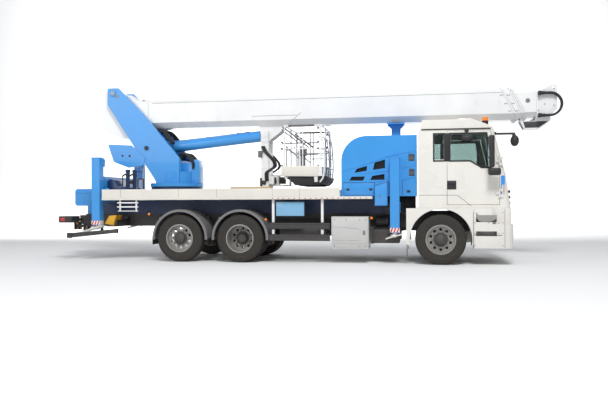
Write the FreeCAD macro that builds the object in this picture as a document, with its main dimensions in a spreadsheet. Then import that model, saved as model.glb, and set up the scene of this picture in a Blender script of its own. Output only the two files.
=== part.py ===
import FreeCAD, Part
import Sketcher
import os
import re

# Truck-mounted platform: three-axle chassis, slewing turret, telescopic boom and basket.
# Millimetres, +X to the nose, +Y to the left, +Z up, ground at zero.

document = FreeCAD.newDocument("PlatformTruck")
sheet = document.addObject("Spreadsheet::Sheet", "Sizes")

# Driving sizes, each group with the piece that it belongs to

sizes = {
    # Axles and wheels
    "front_axle_x": 2978, "drive_axle_back": 4200, "trailing_axle_gap": 1350,
    "tyre_radius": 512, "tyre_width": 296, "tyre_bead_radius": 292, "tyre_corner": 38,
    "tyre_sidewall_bulge": 10, "rim_wall": 12, "rim_flange": 12,
    "wheel_track_half": 1072, "twin_spacing": 340, "disc_wall": 16,
    "disc_outset": 55, "hand_hole_radius": 30, "hand_hole_pitch": 205, "hand_hole_count": 10,
    "hub_radius": 140, "hub_reach": 60, "hub_bore": 45, "hub_cap_radius": 95,
    "hub_cap_length": 55, "rim_lip": 8, "twin_disc_in": 30, "twin_hub_in": 50,
    # Chassis rails and axles
    "rail_offset": 420, "rail_width": 80, "rail_low": 750, "rail_high": 1030, "rail_wall": 10,
    "rail_front": 1180, "rail_back": 8150, "cross_tube": 60,
    "cab_mount_rear": -360, "cab_mount_front": 960, "cab_mount_length": 130,
    "axle_tube": 75, "axle_head": 190, "spring_width": 76, "spring_leaf": 60,
    "knuckle_offset": 880, "king_pin": 28, "knuckle_height": 150, "brake_radius": 205,
    "beam_drop": 90, "beam_depth": 90, "beam_width": 110, "running_gap": 0.3,
    "beam_drop_half": 620, "beam_boss": 50, "drum_gap": 62, "knuckle_arm": 36,
    "spring_half": 620, "front_spring_low": 560, "rear_spring_low": 600, "pinion_reach": 420,
    "pinion_gap": 7.5,
    "gearbox_z": 835,
    "shaft_radius": 55, "engine_length": 1200, "engine_width": 640, "engine_low": 640,
    "engine_high": 1085, "engine_front": 850, "gearbox_length": 900, "gearbox_radius": 190,
    # Cab
    "cab_back": 450, "cab_half": 1120, "cab_floor": 1150, "cab_wall": 55, "roof_top": 2952,
    "roof_back": 360, "roof_flat": 640, "roof_front": 1050, "roof_front_high": 2790,
    "back_corner_high": 2680, "screen_base_x": 1290, "screen_base_z": 1830,
    "cab_front": 1385, "cab_corner": 120, "arch_radius": 620,
    "quarter_back": 127, "quarter_front": 70, "quarter_low": 2140, "window_top": 2650,
    "window_corner": 45, "door_back": 130, "door_front": 1165, "door_low": 1215, "door_top": 2725,
    "door_gap": 6, "door_skin": 50, "door_window_back": 205, "door_window_front": 985,
    "door_window_low": 2115, "glass": 6, "hinge_pin": 9, "hinge_barrel": 18,
    "hinge_length": 60, "hinge_low": 1420, "hinge_high": 2060, "hinge_out": 24,
    "door_belt": 1950, "door_front_top": 990, "door_window_bend": 592, "door_window_drop": 816,
    "door_window_dip": 1975, "door_window_front_top": 900, "hinge_set": 10, "hinge_plate": 60,
    "handle_x": 140, "handle_length": 165, "handle_z": 1538, "handle_height": 160, "handle_out": 9,
    "glass_set": 22,
    "screen_half_low": 960, "screen_half_top": 880, "screen_low": 1880, "screen_high": 2740,
    "grille_wall": 14, "back_window_half": 620, "back_window_low": 2060,
    "back_window_high": 2560,
    # Cab lower panels
    "bumper_low": 343, "bumper_high": 830, "bumper_front": 1425, "bumper_back": 1000,
    "bumper_half": 1230, "bumper_corner": 140, "step_front": 1390, "step_back": 655,
    "step_inner": 860, "step_well_back": 690, "step_well_front": 1095,
    "grille_low": 870, "grille_high": 1560, "grille_half": 760, "grille_slats": 6,
    "lamp_half_low": 700, "lamp_half_high": 1090, "lamp_low": 560, "lamp_high": 730,
    "fender_back": 690, "fender_back_low": 400, "fender_inner": 880,
    "step_low": 590, "step_rise": 280, "step_opening": 95, "slat_depth": 60, "slat_height": 55,
    # Cab inside
    "seat_width": 520, "seat_offset": 520, "seat_back": 170, "seat_front": 340,
    "seat_high": 1700, "backrest_high": 2420, "dash_back": 850, "dash_high": 1780,
    "steering_radius": 225, "steering_tube": 16, "dash_clear": 10,
    # Mirrors and beacon
    "mirror_out": 1245, "mirror_width": 210, "mirror_depth": 110, "mirror_back": 925,
    "mirror_low": 1830, "mirror_high": 2590, "mirror_arm": 14,
    "kerb_mirror_back": 400, "beacon_x": 905, "beacon_y": 890, "beacon_radius": 62,
    "beacon_rise": 60, "beacon_root": 152, "front_mirror_reach": 1520,
    "front_mirror_high": 2560, "front_mirror_y": 1000, "front_mirror_radius": 90,
    "mirror_arm_x": 970,
    # Hood over the machinery
    "panel_back": 1330, "panel_front": 1070, "panel_low": 1205, "panel_high": 1700,
    "panel_fall": 80, "panel_depth": 160,
    "hood_back": 2040, "hood_front": 470, "hood_half": 1030, "hood_low": 1400,
    "hood_top": 2665, "hood_corner": 520, "hood_wall": 25, "hood_step": 2160,
    # Deck
    "deck_back": 7340, "deck_front": 2050, "deck_half": 1250, "deck_low": 1400,
    "deck_top": 1545, "lip_front": 1380, "lip_low": 1345, "side_rail": 40,
    "side_rail_top": 1580, "lip_out": 14, "deck_cut": 660, "plank_width": 620,
    "sub_half": 480, "sub_wall": 150, "sub_low": 1030, "sub_high": 1340, "sub_back": 8000,
    "sub_front": 1150, "bearer_half": 1200, "bearer_width": 90, "bearer_count": 7,
    # Slewing ring and turret
    "slew_back": 6060, "ring_radius": 600, "ring_top": 1655, "turret_flange_radius": 620,
    "turret_flange_top": 1725, "arm_inner": 365, "arm_wall": 90, "arm_top": 3965,
    "arm_top_back": 1540, "arm_top_front": 1270, "arm_knee_x": 530, "arm_knee_z": 3200,
    "arm_nose_x": 220, "arm_nose_z": 2310, "arm_foot_front": 215, "arm_foot_back": 370,
    "arm_back_z": 3580, "arm_rear_foot_z": 1810, "turret_body_top": 2260,
    "luff_pin_back": 1400, "luff_pin_z": 3840, "luff_pin": 70,
    "lift_pin_back": 570, "lift_pin_z": 2550, "lift_pin": 55,
    # Lift cylinder
    "rod_pin_ahead": 2780, "rod_pin_z": 2830, "barrel_radius": 125, "barrel_length": 2520,
    "rod_radius": 70, "rod_length": 2330, "eye_radius": 130, "eye_half": 140,
    # Boom sections
    "boom_tail": 7550, "boom_top": 3680, "boom_seam": 3610, "boom_chine": 3150,
    "boom_low": 3030, "boom_half": 310, "boom_top_half": 255, "boom_low_half": 175,
    "boom_wall": 9, "section_step": 18, "mouth_x": 1490, "mouth_slant": 165,
    "mouth_pitch": 160, "collar_length": 40, "collar_out": 14,
    "section_back": 6900, "section_back_step": 150,
    "tail_wall": 40, "tail_plate_back": 7790, "tail_plate_top": 3920,
    # Boom head
    "head_back": 2020, "head_front": 2430, "head_half": 272, "head_wall": 24, "head_top": 3700,
    "nose_low": 2830, "nose_high": 3140, "nose_back": 1900, "nose_front": 2320,
    "hose_radius": 24, "hose_loop": 235, "hose_top": 3560, "hose_low": 3090, "hose_y": 302,
    # Bracket under the boom
    "bracket_inner": 150, "bracket_wall": 25, "bracket_back": 3960, "bracket_front": 3020,
    "bracket_low": 2665,
    # Basket fork and basket
    "fork_inner": 182, "fork_wall": 60, "fork_width": 180, "fork_low": 1640,
    "rotator_ahead": 170, "rotator_radius": 110, "rotator_low": 1600, "rotator_high": 1900,
    "basket_gap": 340, "basket_depth": 850, "basket_half": 750, "basket_low": 1850,
    "basket_floor": 30, "toe_board": 180, "basket_top": 2970, "basket_tube": 20, "post_inset": 24,
    "post_foot": 25, "rail_radius": 17, "corner_ball": 23,
    "mid_rail": 2450, "tray_inset": 40, "tray_back": 110, "tray_slope": 110, "tray_drop": 195,
    "tray_nose": 60, "tray_reach": 70, "tray_rise": 90,
    # Outriggers
    "rear_outrigger_back": 7500, "rear_beam_low": 1660, "rear_beam_high": 1880,
    "front_outrigger_back": 920, "front_beam_low": 1060, "front_beam_high": 1280,
    "beam_side": 200, "beam_wall": 10, "beam_clear": 6, "outrigger_half": 1020,
    "column_side": 190, "column_inner": 1040, "rear_column_low": 785,
    "rear_column_high": 2286, "front_column_low": 645, "front_column_high": 2180,
    "ram_radius": 55, "pad_radius": 140, "pad_thickness": 70, "rear_pad_low": 660,
    "front_pad_low": 520, "pad_neck": 60,
    # Boom rest
    "rest_back": 925, "rest_side": 200, "rest_flare_half": 190, "rest_plate": 25, "rest_gap": 18, "rest_top_half": 300, "rest_flare": 110,
    # Side equipment
    "toolbox_back": 2230, "toolbox_front": 1460, "toolbox_low": 310, "toolbox_high": 980,
    "toolbox_inner": 640, "toolbox_outer": 1190,
    "guard_back": 3560, "guard_front": 2260, "guard_low": 470, "guard_plank": 130,
    "guard_gap": 120, "guard_out": 1205, "guard_wall": 30,
    "mudguard_radius": 610, "mudguard_wall": 14, "mudguard_inner": 560, "mudguard_outer": 1215,
    "mudguard_low": 480,
    "underrun_back": 8230, "underrun_low": 510, "underrun_high": 610, "underrun_half": 1150,
    "lamp_back": 8450, "control_back": 8470, "control_low": 1220, "control_high": 1620,
    "control_half": 380, "control_corner": 70,
    "coupling_back": 8480, "coupling_bore": 20, "coupling_length": 120,
    "hoop_back": 6500, "hoop_height": 240, "hoop_width": 130,
    # Smaller fittings
    "rotator_pin": 40, "rotator_lip": 10, "swivel_half": 88, "toe_wall": 20,
    "barrel_bottom": 430, "beam_middle": 12, "pedestal_inner": 880, "pedestal_outer": 1000,
    "gusset_low": 1300, "ram_rest": 400, "mud_arm_x": 436, "mud_arm_z": 436, "mud_arm": 25,
    "lamp_arm_half": 1120, "lamp_arm_z": 870, "tail_lamp_inner": 780, "jaw_z": 800,
    "jaw_half": 75,
    "ring_wall": 160, "lip_height": 40, "deck_lip_inner": 900, "hoop_tube": 14,
    "turret_drum_top": 2000, "turret_drum_radius": 470, "arm_foot_z": 1810,
    "hand_hole_x": 100, "turret_hole_z": 1890, "turret_hole": 60, "pin_out": 22,
    "winglet_wall": 20, "second_mouth": 150, "third_mouth": 200, "wear_pad": 300,
    "tail_mid_z": 3300, "tail_low_z": 2790, "tail_low_back": 7300, "tail_low_front": 7000,
    "tail_front": 6650, "tail_out": 30, "saddle_wall": 14, "stub_radius": 45,
    "head_hole": 26, "nose_inner": 120, "head_tube": 42, "hose_bend_x": 2280,
    "hose_start": 2130, "hose_pitch": 54,
}

for row, (alias, value) in enumerate(sizes.items(), start=1):
    sheet.set("A%d" % row, alias)
    sheet.set("B%d" % row, str(value))
    sheet.setAlias("B%d" % row, alias)
document.recompute()

WORD = re.compile(r"[a-z][a-z0-9_]*(?![a-z0-9_(])")


def bind(text):
    """Write the sheet's name before each alias of an expression."""
    return WORD.sub(lambda word: "Sizes." + word.group(), text)


def tie(thing, **texts):
    """Bind properties of a document object to expressions on the sheet."""
    for path, text in texts.items():
        thing.setExpression(path, bind(text))


def place(thing, x="0", y="0", z="0"):
    """Bind the position of a document object."""
    for path, text in ((".Placement.Base.x", x), (".Placement.Base.y", y), (".Placement.Base.z", z)):
        thing.setExpression(path, bind(text))
    return thing


def block(name, along, across, upward):
    """A block between two values on each of the three axes."""
    solid = document.addObject("Part::Box", name)
    tie(solid, Length="(%s)-(%s)" % (along[1], along[0]),
        Width="(%s)-(%s)" % (across[1], across[0]),
        Height="(%s)-(%s)" % (upward[1], upward[0]))
    return place(solid, along[0], across[0], upward[0])


TURNS = {
    "X": FreeCAD.Rotation(FreeCAD.Vector(0, 1, 0), 90),
    "Y": FreeCAD.Rotation(FreeCAD.Vector(1, 0, 0), -90),
    "Z": FreeCAD.Rotation(),
}


def cylinder(name, axis, span, centre, radius):
    """A cylinder along X, Y or Z between two values, its centre given on the other two axes."""
    solid = document.addObject("Part::Cylinder", name)
    solid.Placement = FreeCAD.Placement(FreeCAD.Vector(), TURNS[axis])
    tie(solid, Radius=radius, Height="(%s)-(%s)" % (span[1], span[0]))
    places = {"X": (span[0], centre[0], centre[1]),
              "Y": (centre[0], span[0], centre[1]),
              "Z": (centre[0], centre[1], span[0])}
    return place(solid, *places[axis])


PLANES = {"XY": "XY_Plane", "XZ": "XZ_Plane", "YZ": "YZ_Plane"}


def draw(body, plane, outlines, circles=(), offset="0"):
    """A sketch of closed outlines and circles on an origin plane, each point bound to the sheet."""
    sketch = body.newObject("Sketcher::SketchObject", body.Name + "Sketch")
    role = PLANES[plane]
    origin = [feature for feature in body.Origin.OriginFeatures if feature.Role == role][0]
    sketch.AttachmentSupport = [(origin, "")]
    sketch.MapMode = "FlatFace"
    sketch.setExpression(".AttachmentOffset.Base.z", bind(offset))
    line = 0
    for outline in outlines:
        first = line
        count = len(outline)
        rough = [FreeCAD.Vector(sheet_value(x), sheet_value(y), 0) for x, y in outline]
        for step in range(count):
            sketch.addGeometry(Part.LineSegment(rough[step], rough[(step + 1) % count]), False)
            line += 1
        for step in range(count):
            sketch.addConstraint(Sketcher.Constraint("Coincident", first + step, 2,
                                                     first + (step + 1) % count, 1))
        for step, point in enumerate(outline):
            for kind, text in zip(("DistanceX", "DistanceY"), point):
                index = sketch.addConstraint(Sketcher.Constraint(kind, -1, 1, first + step, 1,
                                                                 sheet_value(text)))
                sketch.setExpression("Constraints[%d]" % index, bind(text))
    for x, y, radius in circles:
        centre = FreeCAD.Vector(sheet_value(x), sheet_value(y), 0)
        sketch.addGeometry(Part.Circle(centre, FreeCAD.Vector(0, 0, 1), sheet_value(radius)), False)
        for kind, text in zip(("DistanceX", "DistanceY"), (x, y)):
            index = sketch.addConstraint(Sketcher.Constraint(kind, -1, 1, line, 3,
                                                             sheet_value(text)))
            sketch.setExpression("Constraints[%d]" % index, bind(text))
        index = sketch.addConstraint(Sketcher.Constraint("Radius", line, sheet_value(radius)))
        sketch.setExpression("Constraints[%d]" % index, bind(radius))
        line += 1
    return sketch


def sheet_value(text):
    """The number that an expression on the sheet gives."""
    value = sheet.evalExpression(bind(text).replace("Sizes.", ""))
    return float(getattr(value, "Value", value))


def profile(name, plane, span, outlines, circles=()):
    """A padded body: outlines on a plane, pushed out between two values across it."""
    body = document.addObject("PartDesign::Body", name)
    if plane == "XZ":
        offset = "-(%s)" % span[1]
    else:
        offset = span[0]
    sketch = draw(body, plane, outlines, circles, offset)
    pad = body.newObject("PartDesign::Pad", name + "Pad")
    pad.Profile = sketch
    tie(pad, Length="(%s)-(%s)" % (span[1], span[0]))
    return body


def spun(name, outline):
    """A body of revolution about the Y axis, its outline given as width and radius."""
    body = document.addObject("PartDesign::Body", name)
    sketch = draw(body, "YZ", [outline])
    turn = body.newObject("PartDesign::Revolution", name + "Turn")
    turn.Profile = sketch
    turn.ReferenceAxis = (sketch, ["H_Axis"])
    turn.Angle = 360
    return body


def soften(body, radius, chosen):
    """Round the edges of a body's last feature whose middle passes the test."""
    document.recompute()
    base = body.Tip
    names = ["Edge%d" % (number + 1) for number, edge in enumerate(base.Shape.Edges)
             if chosen(edge)]
    fillet = body.newObject("PartDesign::Fillet", body.Name + "Fillet%d" % len(body.Group))
    fillet.Base = (base, names)
    tie(fillet, Radius=radius)
    return body


def along(edge, axis):
    """Whether a straight edge runs along X, Y or Z."""
    if edge.Curve.TypeId != "Part::GeomLine":
        return False
    return abs(abs(getattr(edge.tangentAt(edge.FirstParameter), axis.lower())) - 1) < 1e-6


def middle(edge):
    """The middle of an edge's box."""
    return edge.BoundBox.Center


def join(name, pieces):
    """One solid of pieces that meet."""
    whole = document.addObject("Part::MultiFuse", name)
    whole.Shapes = pieces
    whole.Refine = True
    return whole


def group(name, pieces):
    """One node of several solids that stay apart."""
    whole = document.addObject("Part::Compound", name)
    whole.Links = pieces
    return whole


def carve(name, base, tools):
    """A piece with one or more others cut out of it."""
    rest = document.addObject("Part::Cut", name)
    rest.Base = base
    if len(tools) == 1:
        rest.Tool = tools[0]
    else:
        rest.Tool = group(name + "Tools", tools)
    rest.Refine = True
    return rest


def mirror(name, piece):
    """The same piece on the other side of the truck."""
    other = document.addObject("Part::Mirroring", name)
    other.Source = piece
    other.Normal = FreeCAD.Vector(0, 1, 0)
    return other


nodes = {}


def node(label, thing):
    """Give a finished sub-part its own label."""
    thing.Label = label
    nodes[label] = thing
    return thing


def pair(label, right):
    """A right-hand sub-part and its mirror image on the left."""
    node(label + "_left", mirror(label + "Left", right))
    node(label + "_right", right)


def front(distance):
    """An X value ahead of the front axle."""
    return "front_axle_x+(%s)" % distance


def back(distance):
    """An X value behind the front axle."""
    return "front_axle_x-(%s)" % distance


# Wheels: tyres and disc rims about an axle line, made on the left with +Y outboard

def tyre(name, middle_y):
    """A tyre about Y with its middle at a distance from the wheel's own centre."""
    half = "tyre_width/2"
    outline = [
        (middle_y + "-%s+16" % half, "tyre_bead_radius"),
        (middle_y + "-%s-tyre_sidewall_bulge" % half, "tyre_bead_radius+75"),
        (middle_y + "-%s-tyre_sidewall_bulge" % half, "tyre_radius-90"),
        (middle_y + "-%s+6" % half, "tyre_radius-tyre_corner"),
        (middle_y + "-%s+tyre_corner" % half, "tyre_radius-6"),
        (middle_y, "tyre_radius"),
        (middle_y + "+%s-tyre_corner" % half, "tyre_radius-6"),
        (middle_y + "+%s-6" % half, "tyre_radius-tyre_corner"),
        (middle_y + "+%s+tyre_sidewall_bulge" % half, "tyre_radius-90"),
        (middle_y + "+%s+tyre_sidewall_bulge" % half, "tyre_bead_radius+75"),
        (middle_y + "+%s-16" % half, "tyre_bead_radius"),
    ]
    return spun(name, outline)


def rim(name, middle_y, disc_y):
    """A rim barrel with its flanges and a disc with a ring of hand holes."""
    half = "tyre_width/2"
    low, high = middle_y + "-" + half, middle_y + "+" + half
    inner = "tyre_bead_radius-rim_wall"
    outline = [
        (low, "tyre_bead_radius+rim_flange"),
        (low, inner),
        (disc_y + "-disc_wall", inner),
        (disc_y + "-disc_wall", "hub_bore"),
        (disc_y, "hub_bore"),
        (disc_y, inner),
        (high, inner),
        (high, "tyre_bead_radius+rim_flange"),
        (high + "-rim_lip", "tyre_bead_radius+rim_flange"),
        (high + "-16", "tyre_bead_radius"),
        (low + "+16", "tyre_bead_radius"),
        (low + "+rim_lip", "tyre_bead_radius+rim_flange"),
    ]
    body = spun(name, outline)
    document.recompute()
    sketch = draw(body, "XZ", [], [("0", "hand_hole_pitch", "hand_hole_radius")])
    pocket = body.newObject("PartDesign::Pocket", name + "Hole")
    pocket.Profile = sketch
    pocket.Type = "ThroughAll"
    pocket.Midplane = True
    document.recompute()
    ring = body.newObject("PartDesign::PolarPattern", name + "Holes")
    ring.Originals = [pocket]
    ring.Axis = (sketch, ["N_Axis"])
    ring.Angle = 360
    tie(ring, Occurrences="hand_hole_count")
    body.Tip = ring
    return body


def hub(name, inner_y, outer_y):
    """The hub inside the disc, stepped to a cap outboard."""
    outline = [
        (inner_y, "0"), (outer_y, "0"), (outer_y, "hub_cap_radius-18"),
        (outer_y + "-14", "hub_cap_radius"), (outer_y + "-hub_cap_length", "hub_cap_radius"),
        (outer_y + "-hub_cap_length", "hub_radius"), (inner_y, "hub_radius"),
    ]
    return spun(name, outline)


def wheel(label, axle_x, twin):
    """The tyres and the rims of both ends of one axle."""
    name = label.replace("_", "")
    middles = ["0", "-twin_spacing"] if twin else ["0"]
    discs = ["-tyre_width/2+twin_disc_in", "-twin_spacing+tyre_width/2-twin_disc_in+disc_wall"]
    if not twin:
        discs = ["disc_outset"]
    rubber = [tyre("%sTyre%d" % (name, number), middle) for number, middle in enumerate(middles)]
    parts = [rim("%sRim%d" % (name, number), middle, disc)
             for number, (middle, disc) in enumerate(zip(middles, discs))]
    if twin:
        parts.append(hub(name + "Hub", "-twin_spacing-hub_reach", "-twin_hub_in"))
    else:
        parts.append(hub(name + "Hub", "-hub_reach", "disc_outset+hub_reach"))
    for part, pieces in (("tyre", rubber), ("rim", parts)):
        whole = group(name + part, pieces) if part == "tyre" else join(name + part, pieces)
        place(whole, axle_x, "wheel_track_half", "tyre_radius")
        node("%s_%s_left" % (label, part), whole)
        node("%s_%s_right" % (label, part), mirror(name + part + "Right", whole))


wheel("front_wheel", "front_axle_x", False)
wheel("drive_wheel", "front_axle_x-drive_axle_back", True)
wheel("trailing_wheel", "front_axle_x-drive_axle_back-trailing_axle_gap", False)

# Steering knuckles: two arms round the axle's end, a king pin and the brake drum

knuckle_parts = [
    cylinder("KingPin", "Z", ("tyre_radius-knuckle_height/2-knuckle_arm",
                              "tyre_radius+knuckle_height/2+knuckle_arm"),
             ("front_axle_x", "knuckle_offset"), "king_pin"),
    cylinder("BrakeDrum", "Y", ("knuckle_offset+drum_gap",
                                "wheel_track_half-hub_reach-running_gap"),
             ("front_axle_x", "tyre_radius"), "brake_radius"),
]
for number, (low, high) in enumerate([
        ("tyre_radius+knuckle_height/2+running_gap", "tyre_radius+knuckle_height/2+knuckle_arm"),
        ("tyre_radius-knuckle_height/2-knuckle_arm",
         "tyre_radius-knuckle_height/2-running_gap")]):
    knuckle_parts.append(block("KnuckleArm%d" % number,
                               ("front_axle_x-knuckle_arm", "front_axle_x+knuckle_arm"),
                               ("knuckle_offset-knuckle_arm", "knuckle_offset+drum_gap+10"),
                               (low, high)))
knuckle = join("KnuckleLeft", knuckle_parts)
node("knuckle_left", knuckle)
node("knuckle_right", mirror("KnuckleRight", knuckle))

# Axles: the forged front beam, the drive axle with its housing and the trailing axle

front_beam = [
    block("FrontBeam", ("front_axle_x-beam_width/2", "front_axle_x+beam_width/2"),
          ("-beam_drop_half", "beam_drop_half"),
          ("tyre_radius-beam_drop-beam_depth/2", "tyre_radius-beam_drop+beam_depth/2")),
]
boss_bore = []
for side, sign in (("Left", "1"), ("Right", "-1")):
    front_beam.append(profile("BeamEnd" + side, "YZ",
                              ("front_axle_x-beam_width/2", "front_axle_x+beam_width/2"),
                              [[(sign + "*(beam_drop_half-60)", "tyre_radius-beam_drop-beam_depth/2"),
                                (sign + "*beam_drop_half", "tyre_radius-beam_drop-beam_depth/2"),
                                (sign + "*knuckle_offset", "tyre_radius-beam_depth/2"),
                                (sign + "*knuckle_offset", "tyre_radius+beam_depth/2"),
                                (sign + "*(beam_drop_half-60)",
                                 "tyre_radius-beam_drop+beam_depth/2")]]))
    front_beam.append(cylinder("BeamBoss" + side, "Z",
                               ("tyre_radius-knuckle_height/2", "tyre_radius+knuckle_height/2"),
                               ("front_axle_x", sign + "*knuckle_offset"), "beam_boss"))
    boss_bore.append(cylinder("BossBore" + side, "Z",
                              ("tyre_radius-knuckle_height", "tyre_radius+knuckle_height"),
                              ("front_axle_x", sign + "*knuckle_offset"),
                              "king_pin+running_gap"))
    front_beam.append(block("FrontSeat" + side, ("front_axle_x-80", "front_axle_x+80"),
                            (sign + "*rail_offset-spring_width/2",
                             sign + "*rail_offset+spring_width/2"),
                            ("tyre_radius-beam_drop", "front_spring_low")))
front_axle = carve("FrontAxle", join("FrontAxleWhole", front_beam), boss_bore)


def springs(name, axle_x, low):
    """A leaf pack on each side, hung from the rail by its two hangers."""
    made = []
    for side, sign in (("Left", "1"), ("Right", "-1")):
        span = (sign + "*rail_offset-spring_width/2", sign + "*rail_offset+spring_width/2")
        made.append(profile(name + side, "XZ", span, [[
            (axle_x + "-spring_half", "rail_low"),
            (axle_x + "-spring_half", "rail_low-55"),
            (axle_x + "-spring_half+60", "rail_low-75"),
            (axle_x + "-120", low), (axle_x + "+120", low),
            (axle_x + "+spring_half-60", "rail_low-75"),
            (axle_x + "+spring_half", "rail_low-55"),
            (axle_x + "+spring_half", "rail_low"),
            (axle_x + "+spring_half-60", "rail_low"),
            (axle_x + "+spring_half-60", "rail_low-45"),
            (axle_x + "+120", low + "+spring_leaf"), (axle_x + "-120", low + "+spring_leaf"),
            (axle_x + "-spring_half+60", "rail_low-45"),
            (axle_x + "-spring_half+60", "rail_low")]]))
    return made


drive_x = "(front_axle_x-drive_axle_back)"
trailing_x = "(front_axle_x-drive_axle_back-trailing_axle_gap)"
drive_axle = join("DriveAxle", [
    cylinder("DriveTube", "Y", ("-(wheel_track_half-twin_spacing-hub_reach-running_gap)",
                                "wheel_track_half-twin_spacing-hub_reach-running_gap"),
             (drive_x, "tyre_radius"), "axle_tube"),
    cylinder("DriveHead", "X", (drive_x + "-130", drive_x + "+210"), ("0", "tyre_radius"),
             "axle_head"),
    cylinder("DrivePinion", "X", (drive_x + "+200", drive_x + "+pinion_reach"),
             ("0", "tyre_radius"), "shaft_radius+25"),
    block("DriveSeatLeft", (drive_x + "-80", drive_x + "+80"),
          ("rail_offset-spring_width/2", "rail_offset+spring_width/2"),
          ("tyre_radius", "rear_spring_low")),
    block("DriveSeatRight", (drive_x + "-80", drive_x + "+80"),
          ("-rail_offset-spring_width/2", "-rail_offset+spring_width/2"),
          ("tyre_radius", "rear_spring_low")),
])
trailing_axle = join("TrailingAxle", [
    cylinder("TrailingTube", "Y", ("-(wheel_track_half-hub_reach-running_gap)",
                                   "wheel_track_half-hub_reach-running_gap"),
             (trailing_x, "tyre_radius"), "axle_tube"),
    block("TrailingSeatLeft", (trailing_x + "-80", trailing_x + "+80"),
          ("rail_offset-spring_width/2", "rail_offset+spring_width/2"),
          ("tyre_radius", "rear_spring_low")),
    block("TrailingSeatRight", (trailing_x + "-80", trailing_x + "+80"),
          ("-rail_offset-spring_width/2", "-rail_offset+spring_width/2"),
          ("tyre_radius", "rear_spring_low")),
])
node("axles", group("Axles", [
    join("FrontAxleSet", [front_axle] + springs("FrontSpring", "front_axle_x",
                                                "front_spring_low")),
    join("DriveAxleSet", [drive_axle] + springs("DriveSpring", drive_x, "rear_spring_low")),
    join("TrailingAxleSet", [trailing_axle] + springs("TrailingSpring", trailing_x,
                                                      "rear_spring_low"))]))

# Chassis: two channel rails and round cross tubes

rails = []
for side, inner, outer in (("Left", "rail_offset-rail_width/2", "rail_offset+rail_width/2"),
                           ("Right", "-rail_offset-rail_width/2", "-rail_offset+rail_width/2")):
    rail = block("Rail" + side, (back("rail_back"), front("rail_front")), (inner, outer),
                 ("rail_low", "rail_high"))
    if side == "Left":
        hollow = (inner + "-1", outer + "-rail_wall")
    else:
        hollow = (inner + "+rail_wall", outer + "+1")
    rails.append(carve("Channel" + side, rail, [
        block("RailHollow" + side, (back("rail_back+1"), front("rail_front+1")), hollow,
              ("rail_low+rail_wall", "rail_high-rail_wall"))]))
for number, place_x in enumerate(["rail_front-cross_tube", "-1700", "-2500", "-3600", "-4870",
                                  "-6400", "-8000"]):
    rails.append(cylinder("CrossTube%d" % number, "Y",
                          ("-rail_offset-rail_width/2+rail_wall",
                           "rail_offset+rail_width/2-rail_wall"),
                          (front("(%s)" % place_x), "rail_high-rail_wall-cross_tube-10"),
                          "cross_tube"))
for number, mount_x in enumerate(("cab_mount_rear", "cab_mount_front")):
    for side, sign in (("Left", "1"), ("Right", "-1")):
        near, far = sign + "*(rail_offset-rail_width/2)", sign + "*(rail_offset+rail_width/2)"
        span = (near, far) if side == "Left" else (far, near)
        rails.append(block("CabMount%s%d" % (side, number),
                           (front(mount_x), front(mount_x + "+cab_mount_length")), span,
                           ("rail_high-1", "cab_floor-running_gap")))
node("chassis_frame", join("ChassisFrame", rails))

# Engine, gearbox and the shaft to the drive axle

SHAFT_RUN = "(drive_axle_back-pinion_reach+engine_front-engine_length-gearbox_length)"
SHAFT_RISE = "(gearbox_z-tyre_radius)"
prop_shaft = document.addObject("Part::Cylinder", "PropShaft")
prop_shaft.Placement = FreeCAD.Placement(FreeCAD.Vector(),
                                         FreeCAD.Rotation(FreeCAD.Vector(0, 1, 0), 80))
tie(prop_shaft, Radius="shaft_radius", Height="sqrt(%s^2+%s^2)" % (SHAFT_RUN, SHAFT_RISE))
prop_shaft.setExpression(".Placement.Rotation.Angle", bind("atan2(%s;%s)" % (SHAFT_RUN, SHAFT_RISE)))
place(prop_shaft, drive_x + "+pinion_reach+pinion_gap", "0", "tyre_radius")
node("drive_line", join("DriveLine", [
    block("Engine", (front("engine_front-engine_length"), front("engine_front")),
          ("-engine_width/2", "engine_width/2"), ("engine_low", "engine_high")),
    cylinder("Gearbox", "X", (front("engine_front-engine_length-gearbox_length"),
                              front("engine_front-engine_length")),
             ("0", "gearbox_z"), "gearbox_radius"),
    prop_shaft,
]))

# Cab: a hollow shell with door openings and windows

cab_solid = profile("CabSolid", "XZ", ("-cab_half", "cab_half"), [[
    (back("cab_back"), "cab_floor"), (back("cab_back"), "back_corner_high"),
    (back("roof_back"), "roof_top"), (front("roof_flat"), "roof_top"),
    (front("roof_front"), "roof_front_high"), (front("screen_base_x"), "screen_base_z"),
    (front("cab_front"), "cab_floor")]])
front_line = sheet_value(front("roof_front-20"))
soften(cab_solid, "cab_corner",
       lambda edge: middle(edge).x > front_line and abs(middle(edge).y) > 1000)
cab_room = profile("CabRoom", "XZ", ("-cab_half+cab_wall", "cab_half-cab_wall"), [[
    (back("cab_back-cab_wall"), "cab_floor+cab_wall"),
    (back("cab_back-cab_wall"), "back_corner_high"),
    (back("roof_back-cab_wall/2"), "roof_top-cab_wall"),
    (front("roof_flat-cab_wall/4"), "roof_top-cab_wall"),
    (front("roof_front-cab_wall"), "roof_front_high-cab_wall*0.9"),
    (front("screen_base_x-cab_wall"), "screen_base_z"),
    (front("cab_front-cab_wall"), "cab_floor+cab_wall")]])
soften(cab_room, "cab_corner-cab_wall",
       lambda edge: middle(edge).x > front_line - 100 and abs(middle(edge).y) > 1000)
door_outline = [
    (front("door_back"), "door_low"), (front("door_front"), "door_low"),
    (front("door_front"), "door_belt"), (front("door_front_top"), "door_top"),
    (front("door_back"), "door_top")]
door_panel_outline = [
    (front("door_back+door_gap"), "door_low+door_gap"),
    (front("door_front-door_gap"), "door_low+door_gap"),
    (front("door_front-door_gap"), "door_belt"),
    (front("door_front_top-door_gap*1.3"), "door_top-door_gap"),
    (front("door_back+door_gap"), "door_top-door_gap")]
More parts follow.
